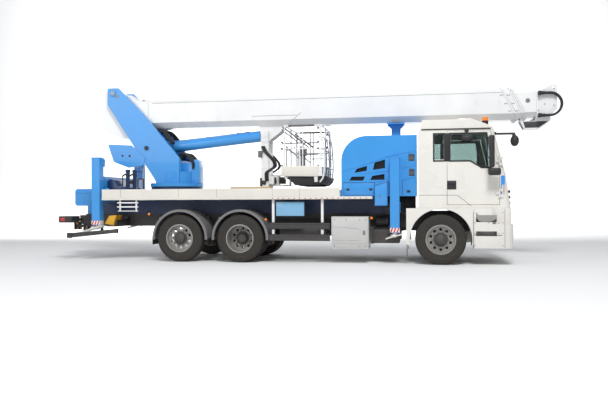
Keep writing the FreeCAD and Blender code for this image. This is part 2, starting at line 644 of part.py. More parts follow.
door_window_outline = [
    (front("door_window_back"), "door_window_low"),
    (front("door_window_bend"), "door_window_low"),
    (front("door_window_drop"), "door_window_dip"),
    (front("door_window_front"), "door_window_dip"),
    (front("door_window_front_top"), "window_top"),
    (front("door_window_back"), "window_top")]
quarter_outline = [
    (back("quarter_back"), "quarter_low"), (front("quarter_front"), "quarter_low"),
    (front("quarter_front"), "window_top"), (back("quarter_back"), "window_top")]
screen_outline = [
    ("-screen_half_low", "screen_low"), ("screen_half_low", "screen_low"),
    ("screen_half_top", "screen_high"), ("-screen_half_top", "screen_high")]
back_window_outline = [
    ("-back_window_half", "back_window_low"), ("back_window_half", "back_window_low"),
    ("back_window_half", "back_window_high"), ("-back_window_half", "back_window_high")]
through = ("-cab_half-100", "cab_half+100")
screen_cut = profile("ScreenCut", "YZ", (front("roof_flat"), front("cab_front+100")),
                     [screen_outline])
cab_shell = carve("CabShell", cab_solid, [
    cab_room,
    profile("DoorCut", "XZ", through, [door_outline]),
    profile("QuarterCut", "XZ", through, [quarter_outline]),
    screen_cut,
    profile("BackWindowCut", "YZ", (back("cab_back+50"), back("cab_back-cab_wall-50")),
            [back_window_outline]),
])
hinge_x, hinge_y = front("door_front-hinge_set"), "cab_half+hinge_out"
cab_parts = [cab_shell]
door_hinges = []
for number, height in enumerate(("hinge_low", "hinge_high")):
    for end, (low, high) in enumerate([
            (height + "-hinge_length", height + "-running_gap"),
            (height + "+hinge_length+running_gap", height + "+2*hinge_length")]):
        for side, sign in (("Left", "1"), ("Right", "-1")):
            cab_parts.append(cylinder("HingeLug%s%d%d" % (side, number, end), "Z", (low, high),
                                      (hinge_x, "%s*(%s)" % (sign, hinge_y)), "hinge_barrel"))
            near, far = ("cab_half-cab_wall/2", hinge_y)
            span = (near, far) if side == "Left" else ("-(%s)" % far, "-(%s)" % near)
            cab_parts.append(block("HingeArm%s%d%d" % (side, number, end),
                                   (front("door_front"), front("door_front+hinge_plate")),
                                   span, (low, high)))
    door_hinges.append(cylinder("HingeBarrel%d" % number, "Z",
                                (height, height + "+hinge_length"),
                                (hinge_x, "-(%s)" % hinge_y), "hinge_barrel"))
    door_hinges.append(block("HingeStrap%d" % number,
                             (front("door_front-hinge_set-70"), hinge_x),
                             ("-(%s)-6" % hinge_y, "-cab_half"),
                             (height, height + "+hinge_length")))
node("cab_shell", join("CabBody", cab_parts))

# Doors: a skin with its window cut, hung on two barrels ahead of its front edge

door_skin = profile("DoorSkin", "XZ", ("-cab_half", "-cab_half+door_skin"),
                    [door_panel_outline, door_window_outline])
handle = block("DoorHandle", (front("handle_x"), front("handle_x+handle_length")),
               ("-cab_half-handle_out", "-cab_half"), ("handle_z", "handle_z+handle_height"))
pair("door", join("DoorRight", [door_skin, handle] + door_hinges))
pair("door_glass", profile("DoorGlass", "XZ", ("-cab_half+glass_set", "-cab_half+glass_set+glass"),
                           [door_window_outline]))

# Fixed glass: windscreen, two quarter windows and the rear window

screen_slab = profile("ScreenSlab", "XZ", ("-cab_half", "cab_half"), [[
    (front("roof_front-glass_set"), "roof_front_high"),
    (front("screen_base_x-glass_set"), "screen_base_z"),
    (front("screen_base_x-glass_set-glass"), "screen_base_z"),
    (front("roof_front-glass_set-glass"), "roof_front_high")]])
windscreen = document.addObject("Part::Common", "Windscreen")
windscreen.Base = screen_slab
windscreen.Tool = profile("ScreenShape", "YZ", (front("roof_flat"), front("cab_front+100")),
                          [screen_outline])
node("cab_glass", group("CabGlass", [
    windscreen,
    profile("QuarterRight", "XZ", ("-cab_half+glass_set", "-cab_half+glass_set+glass"),
            [quarter_outline]),
    profile("QuarterLeft", "XZ", ("cab_half-glass_set-glass", "cab_half-glass_set"),
            [quarter_outline]),
    profile("BackWindow", "YZ", (back("cab_back-glass_set"), back("cab_back-glass_set-glass")),
            [back_window_outline]),
]))

# Lower cab: bumper, step wells behind it, wheel arches and the front panel

bumper = profile("Bumper", "XY", ("bumper_low", "bumper_high"), [[
    (front("bumper_back"), "-bumper_half"), (front("bumper_front"), "-bumper_half"),
    (front("bumper_front"), "bumper_half"), (front("bumper_back"), "bumper_half"),
    (front("bumper_back"), "step_inner"), (front("bumper_front-180"), "step_inner"),
    (front("bumper_front-180"), "-step_inner"), (front("bumper_back"), "-step_inner")]])
corner_x = sheet_value(front("bumper_front-10"))
soften(bumper, "bumper_corner", lambda edge: along(edge, "Z") and middle(edge).x > corner_x)
lower_parts = [bumper]
lower_cuts = []
for side, sign in (("Left", "1"), ("Right", "-1")):
    def span(near, far):
        """A stretch across the truck on this side, from near to far of the middle."""
        return (near, far) if sign == "1" else ("-(%s)" % far, "-(%s)" % near)
    lower_parts.append(block("StepPanel" + side, (front("step_back"), front("bumper_back+10")),
                             span("step_inner", "bumper_half"), ("bumper_low", "cab_floor")))
    lower_parts.append(block("StepTop" + side, (front("bumper_back"), front("step_front-40")),
                             span("step_inner", "cab_half+30"), ("bumper_high", "cab_floor")))
    lower_parts.append(block("Fender" + side, (back("fender_back"), front("step_back+5")),
                             span("fender_inner", "cab_half+90"),
                             ("fender_back_low", "cab_floor")))
    lower_cuts.append(cylinder("Arch" + side, "Y", span("fender_inner-100", "cab_half+200"),
                               ("front_axle_x", "tyre_radius"), "arch_radius"))
    lower_cuts.append(block("ArchFoot" + side, (back("arch_radius-20"), front("arch_radius-20")),
                            span("fender_inner-100", "cab_half+200"),
                            ("bumper_low-100", "tyre_radius")))
    for number in (0, 1):
        base = "step_low+%d*step_rise" % number
        lower_cuts.append(block("StepWell%s%d" % (side, number),
                                (front("step_well_back"), front("step_well_front")),
                                span("step_inner+100", "bumper_half+10"),
                                (base, base + "+step_opening")))
    lower_cuts.append(block("LampRecess" + side, (front("bumper_front-60"), front("bumper_front+1")),
                            span("lamp_half_low", "lamp_half_high"), ("lamp_low", "lamp_high")))
lower_parts.append(block("FrontPanel", (front("cab_front-60"), front("cab_front")),
                         ("-cab_half+40", "cab_half-40"), ("bumper_high", "cab_floor")))
node("cab_lower", carve("CabLower", join("CabLowerWhole", lower_parts), lower_cuts))

lamps = []
for side, low, high in (("Left", "lamp_half_low", "lamp_half_high"),
                        ("Right", "-lamp_half_high", "-lamp_half_low")):
    lamps.append(block("Headlamp" + side, (front("bumper_front-60"), front("bumper_front-8")),
                       (low, high), ("lamp_low", "lamp_high")))

# Grille: a backing plate on the cab's front with level slats

NOSE_LEAN = "((cab_front-screen_base_x)/(screen_base_z-cab_floor))"
grille_seat = "cab_front+running_gap"
slats = [profile("GrillePlate", "XZ", ("-grille_half", "grille_half"), [[
    (front(grille_seat), "grille_low"), (front("cab_front+grille_wall"), "grille_low"),
    (front("cab_front+grille_wall"), "cab_floor"),
    (front("cab_front-(grille_high-cab_floor)*%s+grille_wall" % NOSE_LEAN), "grille_high"),
    (front("%s-(grille_high-cab_floor)*%s" % (grille_seat, NOSE_LEAN)), "grille_high"),
    (front(grille_seat), "cab_floor")]])]
slat_total = int(sizes["grille_slats"])
for number in range(slat_total):
    height = "grille_low+(grille_high-grille_low)*%d/%d+12" % (number, slat_total)
    slats.append(block("Slat%d" % number, (front("cab_front-slat_depth"), front("cab_front+30")),
                       ("-grille_half", "grille_half"), (height, height + "+slat_height")))
grille = carve("Grille", join("GrilleWhole", slats), [
    profile("GrilleBehind", "XZ", ("-cab_half", "cab_half"), [[
        (front("cab_front-300"), "grille_low-50"), (front(grille_seat), "grille_low-50"),
        (front(grille_seat), "cab_floor"),
        (front("%s-(grille_high+100-cab_floor)*%s" % (grille_seat, NOSE_LEAN)), "grille_high+100"),
        (front("cab_front-300"), "grille_high+100")]])])

# Cab inside: two seats, the dashboard and the steering wheel

inside = []
for side, middle_y in (("Left", "seat_offset"), ("Right", "-seat_offset")):
    inside.append(profile("Seat" + side, "XZ", (middle_y + "-seat_width/2",
                                                middle_y + "+seat_width/2"), [[
        (back("seat_back"), "cab_floor+cab_wall"), (front("seat_front-60"), "cab_floor+cab_wall"),
        (front("seat_front"), "seat_high-120"), (front("seat_front"), "seat_high"),
        (back("seat_back-120"), "seat_high-30"), (back("seat_back+30"), "backrest_high"),
        (back("seat_back+140"), "backrest_high-20"), (back("seat_back+20"), "seat_high-80")]]))
inside.append(profile("Dashboard", "XZ", ("-cab_half+cab_wall+dash_clear", "cab_half-cab_wall-dash_clear"), [[
    (front("dash_back+120"), "cab_floor+cab_wall"), (front("cab_front-cab_wall-70"), "cab_floor+cab_wall"),
    (front("screen_base_x-cab_wall-60"), "screen_base_z-90"),
    (front("dash_back+90"), "dash_high"), (front("dash_back"), "dash_high-160")]]))
column = document.addObject("Part::Torus", "SteeringWheel")
column.Placement = FreeCAD.Placement(FreeCAD.Vector(), FreeCAD.Rotation(FreeCAD.Vector(0, 1, 0), -35))
tie(column, Radius1="steering_radius", Radius2="steering_tube")
place(column, front("dash_back-130"), "seat_offset", "dash_high-40")
stem = document.addObject("Part::Cylinder", "SteeringColumn")
stem.Placement = FreeCAD.Placement(FreeCAD.Vector(), FreeCAD.Rotation(FreeCAD.Vector(0, 1, 0), 145))
tie(stem, Radius="steering_tube*2", Height="330")
place(stem, front("dash_back-140"), "seat_offset", "dash_high-20")
spoke = document.addObject("Part::Box", "SteeringSpoke")
spoke.Placement = FreeCAD.Placement(FreeCAD.Vector(), FreeCAD.Rotation(FreeCAD.Vector(0, 1, 0), -35))
tie(spoke, Length="30", Width="steering_radius*2", Height="steering_tube")
place(spoke, front("dash_back-145"), "seat_offset-steering_radius", "dash_high-45")
inside.append(join("SteeringSet", [column, stem, spoke]))
node("cab_interior", join("CabInterior", inside))

# Mirrors on the doors, a front mirror on the cab and beacons on the roof

mirror_parts = [
    block("MirrorHousing", (front("mirror_back"), front("mirror_back+mirror_depth")),
          ("-mirror_out-mirror_width", "-mirror_out"), ("mirror_low", "mirror_high")),
    cylinder("MirrorArmLow", "Y", ("-mirror_out-5", "-cab_half"),
             (front("mirror_arm_x"), "mirror_low+70"), "mirror_arm"),
    cylinder("MirrorArmHigh", "Y", ("-mirror_out-5", "-cab_half"),
             (front("mirror_arm_x"), "mirror_high-70"), "mirror_arm"),
]
pair("mirror", join("MirrorRight", mirror_parts))
beacons = []
for side, sign in (("Left", "1"), ("Right", "-1")):
    beacons.append(carve("Beacon" + side,
                         cylinder("BeaconBody" + side, "Z", ("roof_top-beacon_root", "roof_top+beacon_rise"),
                                  (front("beacon_x"), sign + "*beacon_y"), "beacon_radius"),
                         [profile("BeaconSeat" + side, "XZ", ("-cab_half", "cab_half"),
                                  [[(front("roof_flat"), "roof_top"),
                                    (front("roof_front"), "roof_front_high"),
                                    (front("roof_front"), "roof_front_high-200"),
                                    (front("roof_flat"), "roof_top-200")]])]))
node("beacons", group("Beacons", beacons))
front_mirror = carve("FrontMirror", join("FrontMirrorWhole", [
    cylinder("FrontMirrorArm", "X", (front("roof_front-12"), front("front_mirror_reach-60")),
             ("-front_mirror_y", "front_mirror_high+90"), "mirror_arm"),
    cylinder("FrontMirrorDrop", "Z", ("front_mirror_high", "front_mirror_high+90+mirror_arm"),
             (front("front_mirror_reach-60"), "-front_mirror_y"), "mirror_arm"),
    cylinder("FrontMirrorHead", "X", (front("front_mirror_reach-100"), front("front_mirror_reach")),
             ("-front_mirror_y", "front_mirror_high-60"), "front_mirror_radius"),
]), [cab_solid])
node("cab_trim", group("CabTrim", [grille, front_mirror]))

# Hood over the machinery behind the cab: a moulded shell with vents in its sides

def hood_shape(name, inset, low):
    """The hood's solid, moved in by a wall, with its high rear corner rounded."""
    body = profile(name, "XZ", ("-hood_half+%s" % inset, "hood_half-%s" % inset), [[
        (back("hood_back-%s" % inset), low),
        (back("hood_back-%s" % inset), "hood_top-%s" % inset),
        (back("hood_front+%s" % inset), "hood_top-%s" % inset),
        (back("hood_front+%s" % inset), low)]])
    rear = sheet_value(back("hood_back-200"))
    soften(body, "hood_corner-%s" % inset,
           lambda edge: along(edge, "Y") and middle(edge).x < rear and middle(edge).z > 2000)
    return body


vent_outlines = [
    [("1760", "1895"), ("1711", "1978"), ("1498", "2034"), ("1506", "1933")],
    [("1373", "1950"), ("1339", "2104"), ("1124", "2162"), ("1124", "1985")],
    [("1867", "1732"), ("1821", "1812"), ("1540", "1815"), ("1582", "1729")],
    [("1430", "1740"), ("1388", "1824"), ("1137", "1862"), ("1138", "1744")],
    [("640", "2125"), ("640", "2270"), ("520", "2270"), ("520", "2125")],
    [("632", "1815"), ("632", "1960"), ("520", "1960"), ("520", "1815")],
]
hood_cuts = [hood_shape("HoodRoom", "hood_wall", "hood_low-10")]
for number, outline in enumerate(vent_outlines):
    hood_cuts.append(profile("Vent%d" % number, "XZ", ("-hood_half-50", "hood_half+50"),
                             [[(back(x), z) for x, z in outline]]))
rest_span = ("-rest_side/2", "rest_side/2")
rest_x = (back("rest_back+rest_side/2"), back("rest_back-rest_side/2"))
rest_plate_x = (back("rest_back+rest_flare_half"), back("rest_back-rest_flare_half"))
hood_cuts.append(block("RestHole", rest_x, rest_span, ("hood_top-200", "hood_top+50")))
node("hood", carve("Hood", hood_shape("HoodSolid", "0", "hood_low"), hood_cuts))

# Outrigger control box: hung on the hood's right side, its top sloping to the rear

node("control_box", profile("ControlBox", "XZ", ("-hood_half-panel_depth", "-hood_half"), [[
    (back("panel_back"), "panel_low"), (back("panel_front"), "panel_low"),
    (back("panel_front"), "panel_high"), (back("panel_back"), "panel_high-panel_fall")]]))

# Boom rest: a square post through the hood, its top flared under a wide plate

node("boom_rest", join("BoomRest", [
    block("RestPost", rest_x, rest_span, ("front_beam_high", "boom_low-rest_gap")),
    profile("RestFlare", "XZ", rest_span, [[
        (rest_x[0], "boom_low-rest_gap-rest_flare"), (rest_x[1], "boom_low-rest_gap-rest_flare"),
        (rest_plate_x[1], "boom_low-rest_gap-rest_plate"), (rest_plate_x[1], "boom_low-rest_gap"),
        (rest_plate_x[0], "boom_low-rest_gap"), (rest_plate_x[0], "boom_low-rest_gap-rest_plate")]]),
    block("RestPlate", rest_plate_x, ("-rest_top_half", "rest_top_half"),
          ("boom_low-rest_gap-rest_plate", "boom_low-rest_gap")),
]))

# Subframe: two box beams on the rails with cross plates, and the slewing ring's seat

slew_x = back("slew_back")
sub_parts = []
for side, low, high in (("Left", "sub_half-sub_wall", "sub_half"),
                        ("Right", "-sub_half", "-sub_half+sub_wall")):
    sub_parts.append(block("SubBeam" + side, (back("sub_back"), back("sub_front")), (low, high),
                           ("sub_low", "sub_high")))
for number, distance in enumerate(("sub_back", "6700", "5400", "4200", "3000", "2000",
                                   "sub_front+60")):
    sub_parts.append(block("SubCross%d" % number, (back(distance), back(distance + "-60")),
                           ("-sub_half+20", "sub_half-20"), ("sub_low", "sub_high")))
node("subframe", carve("Subframe", join("SubframeWhole", sub_parts + [
    cylinder("RingSolid", "Z", ("sub_high-5", "ring_top"), (slew_x, "0"), "ring_radius")]), [
    cylinder("RingBore", "Z", ("sub_high", "ring_top+1"), (slew_x, "0"),
             "ring_radius-ring_wall")]))

# Deck: a floor on cross bearers, with side rails that end in an outward lip

deck_parts = [block("DeckFloor", (back("deck_back"), back("deck_front")),
                    ("-deck_half+side_rail", "deck_half-side_rail"), ("deck_low", "deck_top"))]
bearer_total = int(sizes["bearer_count"])
for number in range(bearer_total):
    where = back("(deck_back-(deck_back-deck_front-bearer_width)*%d/%d)"
                 % (number, bearer_total - 1))
    deck_parts.append(block("Bearer%d" % number, (where, where + "+bearer_width"),
                            ("-bearer_half", "bearer_half"), ("sub_high", "deck_low")))
for side, sign in (("Left", "1"), ("Right", "-1")):
    deck_parts.append(profile("SideRail" + side, "YZ", (back("deck_back"), back("deck_front")), [[
        (sign + "*(deck_half-side_rail)", "lip_low"), (sign + "*(deck_half+lip_out)", "lip_low"),
        (sign + "*(deck_half+lip_out)", "lip_low+lip_height"),
        (sign + "*deck_half", "lip_low+lip_height"),
        (sign + "*deck_half", "side_rail_top"),
        (sign + "*(deck_half-side_rail)", "side_rail_top")]]))
    low = "deck_lip_inner" if side == "Left" else "-deck_half-lip_out"
    high = "deck_half+lip_out" if side == "Left" else "-deck_lip_inner"
    deck_parts.append(block("FrontLip" + side, (back("deck_front+20"), back("lip_front")),
                            (low, high), ("lip_low", "deck_low")))
    hoop_y = sign + "*(deck_half-side_rail/2)"
    for number, end in enumerate(("hoop_back", "hoop_back-hoop_width")):
        deck_parts.append(cylinder("Hoop%s%d" % (side, number), "Z",
                                   ("side_rail_top-5", "side_rail_top+hoop_height"),
                                   (back("(%s)" % end), hoop_y), "hoop_tube"))
    deck_parts.append(cylinder("HoopBar" + side, "X",
                               (back("hoop_back+hoop_tube"),
                                back("(hoop_back-hoop_width-hoop_tube)")),
                               (hoop_y, "side_rail_top+hoop_height-hoop_tube"), "hoop_tube"))
node("deck", carve("Deck", join("DeckWhole", deck_parts), [
    cylinder("DeckHole", "Z", ("sub_high-1", "deck_top+1"), (slew_x, "0"), "deck_cut")]))

# Turret: flange, drum and body between two leaning arms, with both pins across them

turret_parts = [
    cylinder("TurretFlange", "Z", ("ring_top+running_gap", "turret_flange_top"), (slew_x, "0"),
             "turret_flange_radius"),
    cylinder("TurretDrum", "Z", ("turret_flange_top-5", "turret_drum_top"), (slew_x, "0"),
             "turret_drum_radius"),
    profile("TurretBody", "XZ", ("-arm_inner-5", "arm_inner+5"), [[
        (back("(slew_back+arm_foot_back)"), "turret_flange_top-5"),
        (front("(-slew_back+arm_foot_front)"), "turret_flange_top-5"),
        (front("(-slew_back+arm_nose_x)"), "turret_body_top"),
        (back("(slew_back+arm_foot_back+200)"), "turret_body_top")]]),
]
arm_outline = [
    (back("(slew_back+arm_foot_back)"), "arm_foot_z"),
    (back("(slew_back+arm_foot_back-60)"), "turret_flange_top-5"),
    (front("(-slew_back+arm_foot_front)"), "turret_flange_top-5"),
    (front("(-slew_back+arm_nose_x)"), "arm_nose_z"),
    (back("(slew_back+arm_knee_x)"), "arm_knee_z"),
    (back("(slew_back+arm_top_front)"), "arm_top"),
    (back("(slew_back+arm_top_back)"), "arm_top"),
    (back("(slew_back+arm_top_back)"), "arm_back_z")]
for side, low, high in (("Left", "arm_inner", "arm_inner+arm_wall"),
                        ("Right", "-arm_inner-arm_wall", "-arm_inner")):
    turret_parts.append(profile("TurretArm" + side, "XZ", (low, high), [arm_outline],
                                [(back("slew_back-hand_hole_x"), "turret_hole_z", "turret_hole")]))
luff_x = back("(slew_back+luff_pin_back)")
lift_x = back("(slew_back+lift_pin_back)")
turret_parts.append(cylinder("LuffPin", "Y", ("-arm_inner-arm_wall-pin_out",
                                              "arm_inner+arm_wall+pin_out"),
                             (luff_x, "luff_pin_z"), "luff_pin"))
turret_parts.append(cylinder("LiftPin", "Y", ("-arm_inner-arm_wall-pin_out",
                                              "arm_inner+arm_wall+pin_out"),
                             (lift_x, "lift_pin_z"), "lift_pin"))
turret_parts.append(profile("Winglet", "XZ", ("-arm_inner-arm_wall-winglet_wall",
                                              "-arm_inner-arm_wall"), [[
    (back("(slew_back+1520)"), "2650"), (back("(slew_back+1380)"), "2240"),
    (back("(slew_back+1010)"), "2100"), (back("(slew_back+640)"), "2150"),
    (back("(slew_back+600)"), "2330"), (back("(slew_back+940)"), "2620")]]))
node("turret", join("Turret", turret_parts))

# Boom: nested folded sections, each with a slanted mouth, a collar and a wear pad

def boom_outline(inset):
    """The boom's closed cross-section, moved in by a distance, as width and height."""
    right = [
        ("boom_top_half-0.4*(%s)" % inset, "boom_top-(%s)" % inset),
        ("boom_half-(%s)" % inset, "boom_seam-0.4*(%s)" % inset),
        ("boom_half-(%s)" % inset, "boom_chine+0.4*(%s)" % inset),
        ("boom_low_half-0.4*(%s)" % inset, "boom_low+(%s)" % inset)]
    return right + [("-(%s)" % y, z) for y, z in reversed(right)]


mouths = ["mouth_x", "mouth_x+second_mouth", "mouth_x+third_mouth", "head_back+60"]
tails = ["-boom_tail", "-section_back", "-section_back+section_back_step",
         "-section_back+2*section_back_step"]


def mouth_band(name, mouth, start, end):
    """A slab that leans as the mouths do, from start to end ahead of a mouth."""
    lean = "(mouth_slant*(1+200/(boom_top-boom_low)))"
    return profile(name, "XZ", ("-boom_half-100", "boom_half+100"), [[
        (front("(%s+%s-%s)" % (mouth, start, lean)), "boom_top+100"),
        (front("(%s+%s-%s)" % (mouth, end, lean)), "boom_top+100"),
        (front("(%s+%s+%s)" % (mouth, end, lean)), "boom_low-100"),
        (front("(%s+%s+%s)" % (mouth, start, lean)), "boom_low-100")]])


def boom_section(number):
    """One telescopic section with its collar and the pad that carries the next one."""
    inset = "%d*section_step" % number
    mouth, tail = mouths[number], tails[number]
    slanted = number < 3
    reach = "+mouth_slant+60" if slanted else ""
    tube = profile("BoomTube%d" % number, "YZ", (front("(%s)" % tail), front("(%s%s)" % (mouth, reach))),
                   [boom_outline(inset), boom_outline(inset + "+boom_wall")])
    if not slanted:
        return tube
    cut = carve("BoomCut%d" % number, tube, [mouth_band("MouthCut%d" % number, mouth, "0", "900")])
    ring = profile("CollarTube%d" % number, "YZ",
                   (front("(%s-mouth_slant-200)" % mouth), front("(%s+mouth_slant+200)" % mouth)),
                   [boom_outline(inset + "-collar_out"), boom_outline(inset + "+boom_wall")])
    collar = document.addObject("Part::Common", "Collar%d" % number)
    collar.Base = ring
    collar.Tool = mouth_band("CollarBand%d" % number, mouth, "-collar_length", "0")
    pad = block("WearPad%d" % number,
                (front("(%s-mouth_slant-wear_pad)" % mouth), front("(%s-mouth_slant)" % mouth)),
                ("-boom_low_half*0.6", "boom_low_half*0.6"),
                ("boom_low+%s+boom_wall-2" % inset, "boom_low+(%d)*section_step-running_gap"
                 % (number + 1)))
    return join("BoomSection%d" % number, [cut, collar, pad])


tail_outline = [
    (back("tail_plate_back"), "tail_plate_top-60"), (back("tail_plate_back"), "tail_mid_z"),
    (back("tail_plate_back-100"), "tail_low_z+170"), (back("tail_low_back"), "tail_low_z"),
    (back("tail_low_front"), "tail_low_z"), (back("tail_front"), "boom_chine"),
    (back("tail_front"), "boom_top-80"), (back("(tail_front+300)"), "boom_top+20"),
    (back("(tail_front+700)"), "tail_plate_top"), (back("(tail_plate_back-60)"), "tail_plate_top")]
tail_plates = []
for side, low, high in (("Left", "boom_half-2", "boom_half+tail_out"),
                        ("Right", "-boom_half-tail_out", "-boom_half+2")):
    tail_plates.append(profile("TailPlate" + side, "XZ", (low, high), [tail_outline],
                               [(luff_x, "luff_pin_z", "luff_pin+running_gap")]))
saddle = document.addObject("Part::Common", "Saddle")
saddle.Base = profile("SaddleRing", "YZ", (back("4200"), back("bracket_front-20")),
                      [boom_outline("-saddle_wall"), boom_outline("1")])
saddle.Tool = profile("SaddleShape", "XZ", ("-boom_half-60", "boom_half+60"), [[
    (back("4150"), "3240"), (back("bracket_back"), "boom_low-40"), (back("3400"), "boom_low-40"),
    (back("bracket_front"), "3300"), (back("3080"), "3300"), (back("3110"), "3240")]])
rod_x = back("(slew_back+lift_pin_back-rod_pin_ahead)")
bracket_plates = []
for side, low, high in (("Left", "bracket_inner", "bracket_inner+bracket_wall"),
                        ("Right", "-bracket_inner-bracket_wall", "-bracket_inner")):
    bracket_plates.append(profile("Bracket" + side, "XZ", (low, high), [[
        (back("(bracket_back+60)"), "boom_low-5"), (back("bracket_back"), "bracket_low"),
        (back("(bracket_back-140)"), "bracket_low"), (back("(bracket_back-440)"), "2890"),
        (back("(bracket_back-520)"), "boom_low-5")]],
        [(rod_x, "rod_pin_z", "stub_radius+running_gap")]))
node("boom_base", join("BoomBase", [boom_section(0), saddle] + tail_plates + bracket_plates))
node("boom_section_2", boom_section(1))
node("boom_section_3", boom_section(2))

# Boom head on the inner section: side plates, cross tubes, top lug and the nose below

head_parts = [boom_section(3)]
for side, sign in (("Left", "1"), ("Right", "-1")):
    near, far = "boom_half-3*section_step-2", "head_half"
    span = (near, far) if side == "Left" else ("-(%s)" % far, "-(%s)" % near)
    head_parts.append(profile("HeadPlate" + side, "XZ", span, [[
        (front("head_back"), "nose_high-60"), (front("head_front-160"), "nose_high-60"),
        (front("head_front"), "nose_high+80"), (front("head_front"), "head_top+40"),
        (front("head_front-120"), "head_top+40"), (front("head_back+20"), "boom_seam-20"),
        (front("head_back"), "boom_seam-60")]],
        [(front("head_front-70"), "head_top-20", "head_hole")]))
    near, far = "nose_inner", "nose_inner+head_wall*2"
    span = (near, far) if side == "Left" else ("-(%s)" % far, "-(%s)" % near)
    head_parts.append(profile("NosePlate" + side, "XZ", span, [[
        (front("nose_back-200"), "boom_low-collar_out-16"), (front("nose_back-110"), "nose_low"),
        (front("nose_front-220"), "nose_low"), (front("nose_front"), "boom_low-30"),
        (front("nose_front"), "nose_high"), (front("head_back"), "nose_high"),
        (front("head_back"), "boom_low-collar_out-16")]]))
head_parts.append(block("NoseWeb", (front("nose_back-100"), front("nose_front-230")),
                        ("-nose_inner-10", "nose_inner+10"), ("nose_low", "nose_low+head_wall")))
for number, (x, z) in enumerate([("head_front-70", "head_top-120"), ("head_front-90", "nose_high+90"),
                                 ("nose_front-60", "nose_high-50")]):
    head_parts.append(cylinder("HeadTube%d" % number, "Y", ("-head_half+5", "head_half-5"),
                               (front("(%s)" % x), z), "head_tube"))
node("boom_head", join("BoomHead", head_parts))

# Hoses at the head: two loops from the upper to the lower fittings

hose_nodes = []
for number in (0, 1):
    middle_y = "-hose_y-%d*hose_pitch" % number
    middle_z = "(hose_top+hose_low)/2"
    bend = document.addObject("Part::Torus", "HoseBend%d" % number)
    bend.Angle3 = 180
    bend.Placement = FreeCAD.Placement(FreeCAD.Vector(), FreeCAD.Rotation(
        FreeCAD.Vector(0, 0, -1), FreeCAD.Vector(1, 0, 0), FreeCAD.Vector(0, -1, 0), "ZXY"))
    tie(bend, Radius1="(hose_top-hose_low)/2", Radius2="hose_radius")
    place(bend, front("hose_bend_x"), middle_y, middle_z)
    pieces = [bend]
    for end, height in enumerate(("hose_low", "hose_top")):
        pieces.append(cylinder("HoseRun%d%d" % (number, end), "X",
                               (front("hose_start"), front("hose_bend_x")),
                               (middle_y, height), "hose_radius"))
        pieces.append(cylinder("HoseFitting%d%d" % (number, end), "X",
                               (front("hose_start-60"), front("hose_start+40")),
                               (middle_y, height), "hose_radius+6"))
    hose_nodes.append(join("Hose%d" % number, pieces))
node("head_hoses", group("HeadHoses", hose_nodes))

# Lift cylinder: barrel and rod along the line between their two pins

LIFT_RISE = "atan2(rod_pin_z-lift_pin_z;rod_pin_ahead)"
LIFT_LENGTH = "sqrt(rod_pin_ahead^2+(rod_pin_z-lift_pin_z)^2)"


def lift_tube(name, start, end, radius):
    """A round length on the lift cylinder's line, measured from the lower pin."""
    solid = document.addObject("Part::Cylinder", name)
    solid.Placement = FreeCAD.Placement(FreeCAD.Vector(), FreeCAD.Rotation(FreeCAD.Vector(0, 1, 0), 80))
    tie(solid, Radius=radius, Height="(%s)-(%s)" % (end, start))
    solid.setExpression(".Placement.Rotation.Angle", bind(
        "atan2(rod_pin_ahead;rod_pin_z-lift_pin_z)"))
    return place(solid, lift_x + "+(%s)*cos(%s)" % (start, LIFT_RISE), "0",
                 "lift_pin_z+(%s)*sin(%s)" % (start, LIFT_RISE))


node("lift_barrel", carve("LiftBarrel", join("BarrelWhole", [
    lift_tube("BarrelTube", "eye_radius*0.6", "barrel_length", "barrel_radius"),
    cylinder("BarrelEye", "Y", ("-eye_half", "eye_half"), (lift_x, "lift_pin_z"), "eye_radius-10"),
]), [
    lift_tube("BarrelBore", "barrel_bottom", "barrel_length+10", "rod_radius+running_gap"),
    cylinder("BarrelPinBore", "Y", ("-eye_half-1", "eye_half+1"), (lift_x, "lift_pin_z"),
             "lift_pin+running_gap"),
]))
node("lift_rod", join("LiftRod", [
    lift_tube("RodTube", LIFT_LENGTH + "-rod_length", LIFT_LENGTH, "rod_radius"),
    cylinder("RodEye", "Y", ("-eye_half", "eye_half"), (rod_x, "rod_pin_z"), "eye_radius-15"),
]))

# Basket fork: two legs hung from the bracket, joined at the foot by the rotator housing

rotator_x = "(" + rod_x + "+rotator_ahead)"
fork_parts = []
for side, sign in (("Left", "1"), ("Right", "-1")):
    near, far = "fork_inner", "fork_inner+fork_wall"
    span = (near, far) if side == "Left" else ("-(%s)" % far, "-(%s)" % near)
    fork_parts.append(block("ForkLeg" + side, (rod_x + "-fork_width*0.66", rod_x + "+fork_width*0.33"),
                            span, ("fork_low", "rod_pin_z+stub_radius+20")))
    near = "bracket_inner+2"
    span = (near, far + "+12") if side == "Left" else ("-(%s+12)" % far, "-(%s)" % near)
    fork_parts.append(cylinder("ForkStub" + side, "Y", span, (rod_x, "rod_pin_z"), "stub_radius"))
fork_parts.append(block("ForkFoot", (rod_x + "-20", rotator_x),
                        ("-fork_inner-10", "fork_inner+10"), ("fork_low+60", "rotator_high-30")))
fork_parts.append(cylinder("RotatorHousing", "Z", ("fork_low+60-rotator_lip", "rotator_high-30+rotator_lip"),
                           (rotator_x, "0"), "rotator_radius"))
rotator_bore = cylinder("RotatorBore", "Z", ("fork_low", "rotator_high+50"), (rotator_x, "0"),
                        "rotator_pin+running_gap")
node("basket_fork", carve("BasketFork", join("ForkWhole", fork_parts), [rotator_bore]))

# Basket: floor, toe boards, corner and middle posts, two rails, on a swivel bracket

